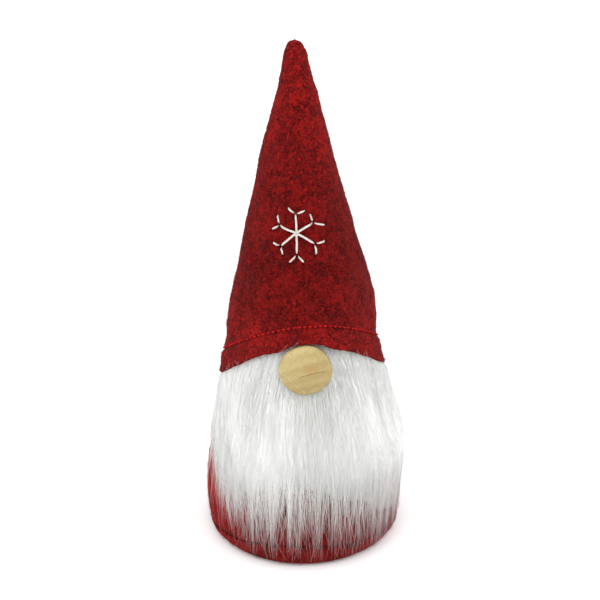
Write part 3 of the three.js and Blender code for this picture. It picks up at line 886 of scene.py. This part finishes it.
def fringe_shares(rng, count):
    """0 for most, and from 0 to 1 for those that hang below the thick of the beard."""
    return np.where(rng.random(count) < FRINGE_SHARE, rng.beta(1.0, 1.1, count), 0)


def hair_paths(turn, root, tip, swing, layer, wave):
    """Paths of hairs [hair, step, xyz] from their roots down to their tips."""
    share = np.linspace(0, 1, HAIR_STEPS)[None]
    turn, root, tip, layer = (v[:, None] for v in (turn, root, tip, layer))
    height = root + (tip - root) * share**1.25
    fallen = (root - height) / 14
    out = (1 - np.exp(-2.3 * fallen)) * (0.45 + 0.55 * layer) + 0.02
    outwards, inwards, drawn, stray = (v[:, None] for v in swing)
    turned = turn + outwards * (1 - np.exp(-fallen * 0.55))
    turned = turned + inwards * smoothstep(share, 0.35, 1.0)
    turned = turned + drawn * smoothstep(share, 0.15, 0.95) + stray * share**2.5
    depth, start, length = (v[:, None] for v in wave)
    turned = turned + depth * np.sin(start + share * length) * share
    inside = body_radius(height) + 0.3 + BACKING * smoothstep(height, 52, 60)
    reach = hair_outside(turned, height) - inside
    thinner = 1 - 0.6 * smoothstep(share, 0.6, 1.0) * (1 - smoothstep(height, 36, 58))
    return place(turned, inside + out * reach * thinner + 0.25, height)


def beard_hairs():
    """The beard's hairs, most of them in locks that draw together towards their tips."""
    rng = np.random.default_rng(5)
    count = HAIR_COUNT
    lock_turn, lock_root = hair_roots(rng, LOCK_COUNT)
    lock_fringe = fringe_shares(rng, LOCK_COUNT)
    lock_layer = rng.beta(2.2, 1.4, LOCK_COUNT)
    lock_stray = rng.normal(0, LOCK_STRAY, LOCK_COUNT)
    lock = rng.integers(0, LOCK_COUNT, count)
    loose = rng.random(count) < LOOSE_SHARE
    turn = lock_turn[lock] + rng.normal(0, LOCK_TURN, count)
    turn = np.clip(turn, -BACKING_TURN, BACKING_TURN)
    root = lock_root[lock] + rng.normal(0, LOCK_HEIGHT, count)
    root = np.clip(root, BACKING_BOTTOM, BACKING_TOP)
    own_fringe = fringe_shares(rng, count)
    fringe = np.where(loose, own_fringe, lock_fringe[lock] * rng.uniform(0.75, 1, count))
    outwards, inwards = combed(lock_turn[lock], root)
    drawn = (lock_turn[lock] - turn) * np.where(loose, 0.1, rng.uniform(0.5, 0.95, count))
    own_stray = np.where(loose, rng.normal(0, LOOSE_STRAY, count), rng.normal(0, 0.012, count))
    stray = lock_stray[lock] + own_stray
    tip = tip_heights(rng, turn + outwards + inwards + drawn + stray, root, fringe)
    layer = np.clip(lock_layer[lock] + rng.normal(0, 0.10, count), 0, 1)
    wave = hair_wave(rng, count, 0.008)
    paths = hair_paths(turn, root, tip, (outwards, inwards, drawn, stray), layer, wave)
    return paths, rng.uniform(*HAIR_THICKNESS, (count, 1)) * hair_taper(0.8)


def hair_wave(rng, count, depth):
    """The depth, the start and the length of each hair's slight wave, all in radians."""
    return rng.normal(0, depth, count), rng.uniform(0, TAU, count), rng.uniform(3, 8, count)


def hair_taper(thinned):
    """A hair's share of its full thickness at each step, from its root to its thinned tip."""
    return 1 - thinned * np.linspace(0, 1, HAIR_STEPS)[None] ** 2.6


def nose_front(across, up):
    """How far forward the nose's dome is, at a place across and up from its centre."""
    from_middle = np.clip(np.hypot(across, up) / NOSE_RADIUS, 0, 1)
    return NOSE_BACK_Y - NOSE_EDGE - (NOSE_DEPTH - NOSE_EDGE) * np.sqrt(1 - from_middle**2)


def stray_hairs():
    """Single hairs that have escaped upwards over the brim, and one that lies across the nose."""
    rng = np.random.default_rng(23)
    share = np.linspace(0, 1, HAIR_STEPS)[None]
    side = rng.choice((-1, 1), BRIM_HAIRS)
    turn = (side * rng.uniform(0.36, 1.15, BRIM_HAIRS))[:, None]
    turned = turn + rng.normal(0.02, 0.16, (BRIM_HAIRS, 1)) * share
    edge = brim_edge(turned)
    height = edge - 5 + rng.uniform(6, 8.5, (BRIM_HAIRS, 1)) * share
    brim = cone_radius(edge) + flare_at(turned, height - edge)
    brim = brim + lean_at(edge) * np.sin(turned) + 1.1
    fur = hair_outside(turned, edge - 5)
    radius = fur - 1 + (brim + 1 - fur) * smoothstep(share, 0, 0.36)
    over_brim = place(turned, radius + 0.6 * share, height)
    across = NOSE_X - 13.6 + 16.8 * share[0]
    up = 2.8 - 16.6 * share[0] ** 0.95
    over_nose = np.stack([across, nose_front(across - NOSE_X, up) - 0.15, NOSE_Z + up], -1)
    paths = np.concatenate([over_brim, over_nose[None]])
    radii = np.full(paths.shape[:2], STRAY_THICKNESS) * (1 - 0.6 * share**3)
    return strands("beard_strays", paths, radii)


def flyaways():
    """Single fine hairs that cross the others where the beard thins out."""
    rng = np.random.default_rng(41)
    count = FLYAWAY_COUNT
    turn = rng.uniform(-1.35, 1.4, count)
    root = rng.uniform(62, 86, count)
    tip = rng.uniform(3, 36, count)
    still = np.zeros(count)
    swing = (still, still, still, rng.normal(0, 0.21, count))
    wave = hair_wave(rng, count, 0.02)
    paths = hair_paths(turn, root, tip, swing, rng.uniform(0.8, 1.1, count), wave)
    radii = np.full(paths.shape[:2], FLYAWAY_THICKNESS) * hair_taper(0.75)
    return strands("beard_flyaways", paths, radii)


def clear_of_nose(paths):
    """Pushes hair that would pass through the nose behind its flat back."""
    across = paths[..., 0] - NOSE_X
    up = paths[..., 2] - NOSE_Z
    inside = 1 - smoothstep(np.hypot(across, up), NOSE_RADIUS - 0.5, NOSE_RADIUS + 2.5)
    limit = NOSE_BACK_Y + 0.4
    paths[..., 1] += inside * np.maximum(0, limit - paths[..., 1])
    return paths


def slab_faces(rows, around):
    """Quads of a closed slab: an outer grid of points, and then an inner one behind it."""
    row, column = np.meshgrid(np.arange(rows - 1), np.arange(around - 1), indexing="ij")
    corner = (row * around + column).ravel()
    front = np.stack([corner, corner + 1, corner + around + 1, corner + around], -1)
    back = front[:, ::-1] + rows * around
    rim = np.concatenate([
        np.arange(around),
        np.arange(1, rows) * around + around - 1,
        (rows - 1) * around + np.arange(around - 2, -1, -1),
        np.arange(rows - 2, 0, -1) * around,
    ])
    after = np.roll(rim, -1)
    return front, back, np.stack([after, rim, rim + rows * around, after + rows * around], -1)


def under_fur(around=160, rows=110):
    """The dense short fur that fills the beard behind its long hairs, as one closed slab."""
    across = np.linspace(-1, 1, around)[None]
    up = np.linspace(0, 1, rows)[:, None]
    turn = across * (1.50 + 0.06 * up)
    bottom = np.maximum(thick_foot(turn) + 8, 52) + 1.5 * np.sin(turn * 23)
    height = bottom + (121.5 - bottom) * up
    inside = body_radius(height) + BACKING + 0.5
    outside = inside + (hair_outside(turn, height) - inside) * 0.3
    outer = place(turn, outside, height)
    coarse, fine = outer * np.array([1, 1, 0.18]), outer * np.array([1, 1, 0.12])
    lump = 0.8 * ripples(coarse, 5, 71) + 0.4 * ripples(fine, 2.2, 72)
    rim = np.minimum(8 * (1 - np.abs(across)), np.minimum(1.6 * up, 8 * (1 - up)))
    thick = np.maximum(0.3, (outside - inside + lump) * np.minimum(1, rim))
    outer = clear_of_nose(place(turn, inside + thick, height))
    inner = place(turn, inside, height)
    points = np.concatenate([outer.reshape(-1, 3), inner.reshape(-1, 3)])
    return new_mesh("beard_under_fur", points, *slab_faces(rows, around))


# ---- Nose ----


def nose_grid(around=160):
    """The turned wooden button, standing on its back, with a fine drying crack and tool marks."""
    rise = NOSE_DEPTH - NOSE_EDGE
    turns = np.linspace(0, TAU, around, endpoint=False)[None]
    eased = [(NOSE_RADIUS - cut, h) for cut, h in ((1.0, 0), (0.6, 0.3), (0.2, 0.8), (0, 1.6))]
    rim = [(0, 0), *eased, (NOSE_RADIUS, NOSE_EDGE)]
    dome = quarter_turn((0, NOSE_EDGE), NOSE_RADIUS, rise, 0, math.pi / 2, 60)
    profile = resample(rim + dome[1:], 0.22)
    radius = profile[:, :1] * (1 + 0.012 * np.cos(4 * turns + 0.6) + 0.004 * np.cos(2 * turns))
    flat = radius * np.cos(turns), radius * np.sin(turns)
    grid = np.stack(np.broadcast_arrays(*flat, profile[:, 1:]), -1)
    across, up = grid[..., 0], grid[..., 1]
    from_ring = np.hypot(across - RING_X, up + RING_DROP) - RING_REACH
    crack = bell(from_ring, 0.18) * smoothstep(across, -5, -2) * (1 - smoothstep(across, 8, 11))
    front = smoothstep(grid[..., 2], NOSE_EDGE, NOSE_EDGE + 1.5)
    grid[..., 2] -= front * (0.28 * crack - 0.020 * np.cos(from_ring * TAU / RING_WIDTH))
    return grid


def nose():
    across, up, out = np.moveaxis(nose_grid(), -1, 0)
    placed = np.stack([across + NOSE_X, NOSE_BACK_Y - out, up + NOSE_Z], -1)
    return revolved("nose_button", placed)


# ---- Materials ----


class Shader:
    """A Principled material with short ways to add and link the nodes that colour it."""

    def __init__(self, name, **sockets):
        self.material = bpy.data.materials.new(name)
        self.material.use_nodes = True
        self.nodes = self.material.node_tree.nodes
        self.links = self.material.node_tree.links
        self.surface = self.nodes["Principled BSDF"]
        for socket, value in sockets.items():
            self.surface.inputs[socket.replace("_", " ")].default_value = value
        self.coordinates = self.nodes.new("ShaderNodeTexCoord").outputs["Object"]

    def node(self, kind, inputs=(), **settings):
        made = self.nodes.new("ShaderNode" + kind)
        for setting, value in settings.items():
            setattr(made, setting, value)
        for socket, value in dict(inputs).items():
            if isinstance(value, bpy.types.NodeSocket):
                self.links.new(value, made.inputs[socket])
            else:
                made.inputs[socket].default_value = value
        return made

    def stretched(self, scale=(1, 1, 1), rotation=(0, 0, 0)):
        inputs = {"Vector": self.coordinates, "Scale": scale, "Rotation": rotation}
        return self.node("Mapping", inputs).outputs["Vector"]

    def noise(self, scale, detail=3.0, distortion=0.0, vector=None):
        inputs = {"Vector": vector or self.coordinates, "Scale": scale, "Detail": detail}
        inputs |= {"Distortion": distortion, "Roughness": NOISE_ROUGHNESS}
        return self.node("TexNoise", inputs).outputs["Fac"]

    def math(self, operation, first, second=0.0):
        return self.node("Math", {0: first, 1: second}, operation=operation).outputs[0]

    def times(self, first, second):
        return self.math("MULTIPLY", first, second)

    def plus(self, first, second):
        return self.math("ADD", first, second)

    def minus(self, first, second):
        return self.math("SUBTRACT", first, second)

    def distance(self, across, up):
        """The length of a vector with two parts at a right angle."""
        return self.math("SQRT", self.plus(self.times(across, across), self.times(up, up)))

    def xyz(self):
        """The place on the object along X, Y and Z, in metres."""
        return self.node("SeparateXYZ", {"Vector": self.coordinates}).outputs

    def ridge(self, value, width):
        """1 where value is near a half, falling to 0 a width away: thin lines from a noise."""
        away = self.math("ABSOLUTE", self.minus(value, 0.5))
        return self.ramped(away, 0.0, width, 1.0, 0.0)

    def ramped(self, value, low, high, start=0.0, end=1.0):
        inputs = {0: value, 1: low, 2: high, 3: start, 4: end}
        return self.node("MapRange", inputs).outputs[0]

    def ramp(self, value, *stops):
        """Colours along a value, from (place, (red, green, blue)) stops."""
        made = self.node("ValToRGB", {"Fac": value})
        elements = made.color_ramp.elements
        while len(elements) < len(stops):
            elements.new(0.5)
        for element, (position, colour) in zip(elements, stops):
            element.position = position
            element.color = (*colour, 1)
        return made.outputs["Color"]

    def mix(self, share, first, second, blend="MIX"):
        made = self.node("Mix", data_type="RGBA", blend_type=blend)
        for index, value in zip((0, 6, 7), (share, first, second)):
            socket = made.inputs[index]
            if isinstance(value, bpy.types.NodeSocket):
                self.links.new(value, socket)
            else:
                socket.default_value = (*value, 1) if isinstance(value, tuple) else value
        return made.outputs[2]

    def colour(self, value):
        self.links.new(value, self.surface.inputs["Base Color"])

    def rough(self, value):
        self.links.new(value, self.surface.inputs["Roughness"])

    def bump(self, height, distance, strength=1.0):
        inputs = {"Height": height, "Distance": distance * MM, "Strength": strength}
        self.links.new(self.node("Bump", inputs).outputs["Normal"], self.surface.inputs["Normal"])

    def on(self, *pieces):
        for piece in pieces:
            piece.data.materials.clear()
            piece.data.materials.append(self.material)


def felt_material(name, dark, middle, bright, painted_shading, beard_shade_share=1.0):
    """Melange wool felt: dark and bright wool in cloudy patches, with single fibres in it.

    Its height stops, (height, share) pairs, lighten or darken the wool with height as painted
    light and shade, and its front share is what its colour is multiplied by at the very front, as
    painted shade under the beard.
    """
    felt = Shader(name, Sheen_Weight=0.06, Sheen_Roughness=0.35, Sheen_Tint=(1.0, 0.40, 0.37, 1))
    felt.surface.inputs["Specular IOR Level"].default_value = 0.04
    cloud = felt.times(felt.noise(80, 2.0), 0.18)
    mottle = felt.times(felt.noise(300, 3.0, 0.6), 0.30)
    grain = felt.noise(1050, 3.0, 1.0)
    mixed = felt.plus(felt.plus(cloud, mottle), felt.times(grain, 0.52))
    wool = felt.ramp(mixed, (0.435, dark), (0.5, middle), (0.565, bright))
    bright_fibres = felt.ridge(felt.noise(700, 2.0, 2.2), 0.026)
    dark_fibres = felt.ridge(felt.noise(520, 2.0, 2.6, felt.stretched((1, 1, 0.8))), 0.026)
    wool = with_fibres(felt, wool, dark_fibres, bright_fibres, dark, bright)
    felt.colour(with_painted_shading(felt, wool, painted_shading, beard_shade_share))
    felt.rough(felt.ramped(grain, 0.3, 0.7, 0.88, 0.98))
    relief = felt.plus(felt.times(grain, 0.8), felt.times(bright_fibres, 0.35))
    felt.bump(felt.minus(relief, felt.times(dark_fibres, 0.25)), 0.45)
    return felt


def with_fibres(felt, wool, dark_fibres, bright_fibres, dark, bright):
    """The wool's colour with dark and bright fibres and specks in it."""
    shadow = tuple(0.4 * c for c in dark)
    light = tuple(1.6 * c for c in bright)
    turned = felt.stretched(rotation=(1.1, 0.4, 0.7))
    specks = felt.ramped(felt.noise(420, 2.0, 0.8, turned), 0.29, 0.36, 1.0, 0.0)
    dots = felt.ramped(felt.noise(800, 1.0, 0.5, turned), 0.64, 0.70)
    wool = felt.mix(felt.times(specks, 0.7), wool, shadow)
    wool = felt.mix(felt.times(dark_fibres, 0.6), wool, shadow)
    wool = felt.mix(felt.times(bright_fibres, 0.6), wool, light)
    return felt.mix(felt.times(dots, 0.7), wool, light)


def with_painted_shading(felt, wool, painted_shading, beard_shade_share):
    """The wool's colour, lightened or darkened with height as painted light and shade, and
    darkened towards the front as painted shade under the beard.
    """
    split = felt.xyz()
    top = painted_shading[-1][0]
    # Painted light and shade: the wool is lightened or darkened by height.
    tones = [(h / top, (share * 0.5,) * 3) for h, share in painted_shading]
    painted_height_shade = felt.ramp(felt.math("DIVIDE", split[2], top * MM), *tones)
    # Painted shade under the beard: the wool darkens towards the front.
    painted_beard_shade = felt.ramped(split[1], -46 * MM, -24 * MM, beard_shade_share, 1.0)
    doubled = felt.mix(1.0, wool, (2.0, 2.0, 2.0), "MULTIPLY")
    return felt.mix(1.0, felt.mix(1.0, doubled, painted_height_shade, "MULTIPLY"), painted_beard_shade, "MULTIPLY")


def fibre_material(name, low, high):
    """Single fibres or threads whose colour drifts from one to the next."""
    fibre = Shader(name, Specular_IOR_Level=0.25)
    drift = fibre.noise(420, 2.0)
    fibre.colour(fibre.ramp(drift, (0.35, low), (0.65, high)))
    fibre.rough(fibre.ramped(drift, 0.3, 0.7, 0.77, 0.90))
    return fibre


def fur_material():
    """Straight faux-fur fibre: nearly white, with long faint streaks, painted pinkish-grey shade
    low down where the thin tips hang over the red felt, and painted shade down the middle.
    """
    fur = Shader("white_fur", Specular_IOR_Level=0.35, Sheen_Weight=0.15, Sheen_Roughness=0.4)
    along = fur.stretched((1, 1, 0.07))
    streak = fur.noise(420, 3.0, 0.2, along)
    mixed = fur.plus(fur.times(streak, 0.6), fur.times(fur.noise(120, 2.0, 0.3, along), 0.4))
    white = fur.ramp(mixed, (0.36, FUR_SHADE), (0.5, FUR_MIDDLE), (0.62, FUR_BRIGHT))
    split = fur.xyz()
    # Painted shade: the hair darkens and turns pinkish-grey towards the floor, below 50 mm.
    low = fur.ramped(split[2], 10 * MM, 50 * MM)
    painted_tip_shade = fur.ramp(low, (0.0, FUR_TIP_SHADE), (0.5, FUR_THIN_SHADE), (1.0, WHITE))
    white = fur.mix(1.0, white, painted_tip_shade, "MULTIPLY")
    # Painted shade: the fur greys a little towards the beard's middle, near X = 0.
    from_middle = fur.ramped(fur.math("ABSOLUTE", split[0]), 8 * MM, 34 * MM)
    painted_middle_shade = fur.ramp(from_middle, (0.0, FUR_MIDDLE_SHADE), (1.0, WHITE))
    fur.colour(fur.mix(1.0, white, painted_middle_shade, "MULTIPLY"))
    fur.rough(fur.ramped(streak, 0.3, 0.7, 0.42, 0.6))
    return fur


def thread_material(name, low, high, roughness):
    """Twisted thread: fine slanting plies along its length."""
    thread = Shader(name, Specular_IOR_Level=0.12)
    ply = thread.noise(1500, 2.0, 0.5)
    thread.colour(thread.ramp(ply, (0.35, low), (0.65, high)))
    thread.rough(thread.ramped(ply, 0.3, 0.7, roughness, roughness + 0.15))
    thread.bump(ply, 0.12, 0.5)
    return thread


def wood_material():
    """Pale birch cut across its rings, sanded and waxed, with a small knot and a drying crack."""
    wood = Shader("nose_wood", Specular_IOR_Level=0.35, Coat_Weight=0.08, Coat_Roughness=0.35)
    split = wood.xyz()
    across = wood.minus(split[0], (NOSE_X + RING_X) * MM)
    up = wood.minus(split[2], (NOSE_Z - RING_DROP) * MM)
    from_heart = wood.distance(across, up)
    figure = wood_figure(wood, split, from_heart)
    tones = (0.0, WOOD_DARK), (0.45, WOOD_MIDDLE), (1.0, WOOD_PALE)
    grain = wood.ramp(wood.ramped(figure, -0.6, 2.1), *tones)
    coloured = wood.mix(wood_knot(wood, split), grain, KNOT_BROWN)
    coloured = wood.mix(wood_crack(wood, split, from_heart), coloured, CRACK_BROWN)
    # Painted shade: the wood darkens towards the button's back edge.
    rim = wood.ramped(split[1], (NOSE_BACK_Y - 2.3) * MM, (NOSE_BACK_Y - 0.9) * MM, 0.0, 0.75)
    wood.colour(wood.mix(rim, coloured, RIM_SHADE_BROWN))
    wood.rough(wood.ramped(figure, -0.6, 1.6, 0.42, 0.55))
    wood.bump(figure, 0.03, 0.5)
    return wood


def wood_figure(wood, split, from_heart):
    """Fine and broad year rings with ray flecks, and painted light that makes them paler towards
    the top and the -X side.
    """
    reach = wood.plus(from_heart, wood.times(wood.noise(110, 3.0), 0.0022))
    ring = wood.math("SINE", wood.times(reach, TAU / (RING_WIDTH * MM)))
    wide_ring = wood.math("SINE", wood.times(reach, TAU / (BROAD_RING_WIDTH * MM)))
    figure = wood.plus(wood.times(ring, 0.32), wood.times(wide_ring, 0.22))
    figure = wood.plus(figure, wood.times(wood.noise(700, 3.0, 0.4), 1.5))
    # Painted light from above and from -X: the figure pales towards the top and that side.
    painted_upper_light = wood.minus(wood.times(split[2], 0.5), wood.times(split[0], 0.5))
    return wood.plus(figure, wood.ramped(painted_upper_light, 0.050, 0.060, -0.25, 0.5))


def wood_knot(wood, split):
    """How much of the small, ragged knot shows at each place."""
    across = wood.times(wood.minus(split[0], (NOSE_X + 2.4) * MM), 0.6)
    away = wood.distance(across, wood.minus(split[2], (NOSE_Z + 2.6) * MM))
    ragged = wood.plus(away, wood.times(wood.noise(600, 2.0), 0.0022))
    return wood.ramped(ragged, 0.0010, 0.0042, 0.75, 0.0)


def wood_crack(wood, split, from_heart):
    """How much of the crack along one ring shows at each place."""
    beside = wood.math("ABSOLUTE", wood.minus(from_heart, RING_REACH * MM))
    line = wood.ramped(beside, 0.0, 0.00030, 0.85, 0.0)
    started = wood.ramped(split[0], (NOSE_X - 5) * MM, (NOSE_X - 2) * MM, 0.0, 1.0)
    ended = wood.ramped(split[0], (NOSE_X + 8) * MM, (NOSE_X + 11) * MM, 1.0, 0.0)
    return wood.times(line, wood.times(started, ended))


def speckled_material(name, low, high, scale, roughness, bump):
    """A plain material with grain at one scale: board, cloth, pellets, loose fibre or glue."""
    made = Shader(name)
    speck = made.noise(scale, 4.0, 0.6)
    made.colour(made.ramp(speck, (0.35, low), (0.65, high)))
    made.rough(made.ramped(speck, 0.3, 0.7, roughness - 0.06, roughness + 0.06))
    made.bump(speck, bump, 0.6)
    return made


# ---- Putting it together ----


def wear(piece, body, slot, *nodes):
    """Puts a finished piece on its body and hides the nodes it stands for. Its finish's slot is
    not used.
    """
    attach(piece, body)
    if nodes:
        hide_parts(*nodes)
    return piece


def make_figure(felt, fibres, red_thread, fur):
    outside, closed = body_grid()
    body = wear(revolved("body_cover", closed, capped=False), "figure", "body_felt", "body_felt")
    felt.on(body)
    fluff = wear(fuzz("body_fuzz", outside, BODY_FUZZ, 8), "figure", "body_felt")
    fibres.on(fluff)
    count = base_stitch_count()
    stitches = ring_of_stitches("base_stitches", body_stitch_place, count, BASE_THREAD)
    red_thread.on(wear(stitches, "figure", "red_thread", "base_topstitch_thread"))
    make_beard(fur)
    wood_material().on(wear(nose(), "figure", "nose_wood", "nose"))


def make_beard(fur):
    pieces = [under_fur()]
    paths, radii = beard_hairs()
    paths = clear_of_nose(paths)
    order = np.argsort(paths[:, HAIR_STEPS // 2, 0])
    for number, members in enumerate(np.array_split(order, HAIR_PIECES), 1):
        pieces.append(strands(f"beard_hair_{number}", paths[members], radii[members]))
    for piece in [*pieces, stray_hairs(), flyaways()]:
        fur.on(wear(piece, "figure", "fur", "beard_pile"))


def make_hat(felt, fibres, red_thread):
    outside, closed = hat_grid()
    hat = wear(revolved("hat_cone", closed), "hat", "hat_felt", "hat_felt")
    felt.on(hat)
    fibres.on(wear(fuzz("hat_fuzz", outside[4:-3], HAT_FUZZ, 9), "hat", "hat_felt"))
    count = hem_stitch_count()
    stitches = ring_of_stitches("hem_stitches", hem_stitch_place, count, HEM_THREAD)
    red_thread.on(wear(stitches, "hat", "red_thread", "hat_hem_thread"))
    floss = thread_material("flake_floss", *FLOSS_WHITE, 0.6)
    for seed, (node, start, end) in enumerate(flake_stitches(), 100):
        floss.on(wear(flake_stitch(node, start, end, seed), "hat", "flake_floss", node))


def dress_inner_nodes(felt, red_thread):
    """Materials for the CAD nodes that are shown as they are."""
    nodes = frame["nodes"]
    felt.on(nodes["base_felt"])
    for name in ("body_back_seam_thread", "gather_thread", "hat_back_seam_thread"):
        red_thread.on(nodes[name])
    white_thread = thread_material("white_thread", *THREAD_WHITE, 0.6)
    white_thread.on(nodes["beard_seam_thread"])
    for name, (low, high, scale, roughness, bump, dressed) in INNER_MATERIALS.items():
        made = speckled_material(name, low, high, scale, roughness, bump)
        made.on(*(nodes[node] for node in dressed))


def make_studio():
    """A white floor under soft light from all round, a little stronger from three sides."""
    corners = FLOOR_REACH * np.array([(-1, -1, 0), (1, -1, 0), (1, 1, 0), (-1, 1, 0)])
    floor = new_mesh("studio_floor", corners, np.array([[0, 1, 2, 3]]), smooth=False)
    paper = Shader("studio_paper", Specular_IOR_Level=0.0, Roughness=1.0)
    paper.colour(paper.ramp(paper.noise(3), (0.4, PAPER_WHITE[0]), (0.6, PAPER_WHITE[1])))
    paper.on(floor)
    world = bpy.data.worlds.new("studio")
    bpy.context.scene.world = world
    world.use_nodes = True
    world.node_tree.nodes["Background"].inputs["Color"].default_value = (1, 1, 1, 1)
    world.node_tree.nodes["Background"].inputs["Strength"].default_value = WORLD_STRENGTH
    for name, (turn, rise, strength) in SOFT_LIGHTS.items():
        add_light(name, turn, rise, strength)


def add_light(name, turn, rise, strength):
    """A very soft light from a turn about the gnome and an angle above the floor, in degrees."""
    data = bpy.data.lights.new(name, "SUN")
    data.energy = strength
    data.angle = math.radians(SOFT_LIGHT_ANGLE)
    light = bpy.data.objects.new(name, data)
    bpy.context.scene.collection.objects.link(light)
    light.rotation_euler = (math.radians(90 - rise), 0, math.radians(turn))


def make_camera():
    data = bpy.data.cameras.new("camera")
    data.lens = CAMERA_LENS
    data.sensor_width = CAMERA_SENSOR
    data.clip_start = CAMERA_NEAR * MM
    camera = bpy.data.objects.new("camera", data)
    bpy.context.scene.collection.objects.link(camera)
    camera.location = [c * MM for c in CAMERA_PLACE]
    camera.rotation_euler = (math.radians(90 - CAMERA_PITCH), 0, 0)
    bpy.context.scene.camera = camera
    bpy.context.scene.view_settings.view_transform = "Standard"


def main():
    make_camera()
    make_studio()
    hat_felt = felt_material("hat_felt", *HAT_WOOL, HAT_PAINTED_SHADING)
    body_felt = felt_material("body_felt", *BODY_WOOL, BODY_PAINTED_SHADING, BODY_BEARD_SHADE_SHARE)
    hat_fibres = fibre_material("hat_fibres", *HAT_FIBRES)
    body_fibres = fibre_material("body_fibres", *BODY_FIBRES)
    hem_thread = thread_material("hem_thread", *HEM_RED, 0.9)
    red_thread = thread_material("red_thread", *DARK_RED, 0.85)
    make_figure(body_felt, body_fibres, red_thread, fur_material())
    make_hat(hat_felt, hat_fibres, hem_thread)
    dress_inner_nodes(body_felt, red_thread)


main()
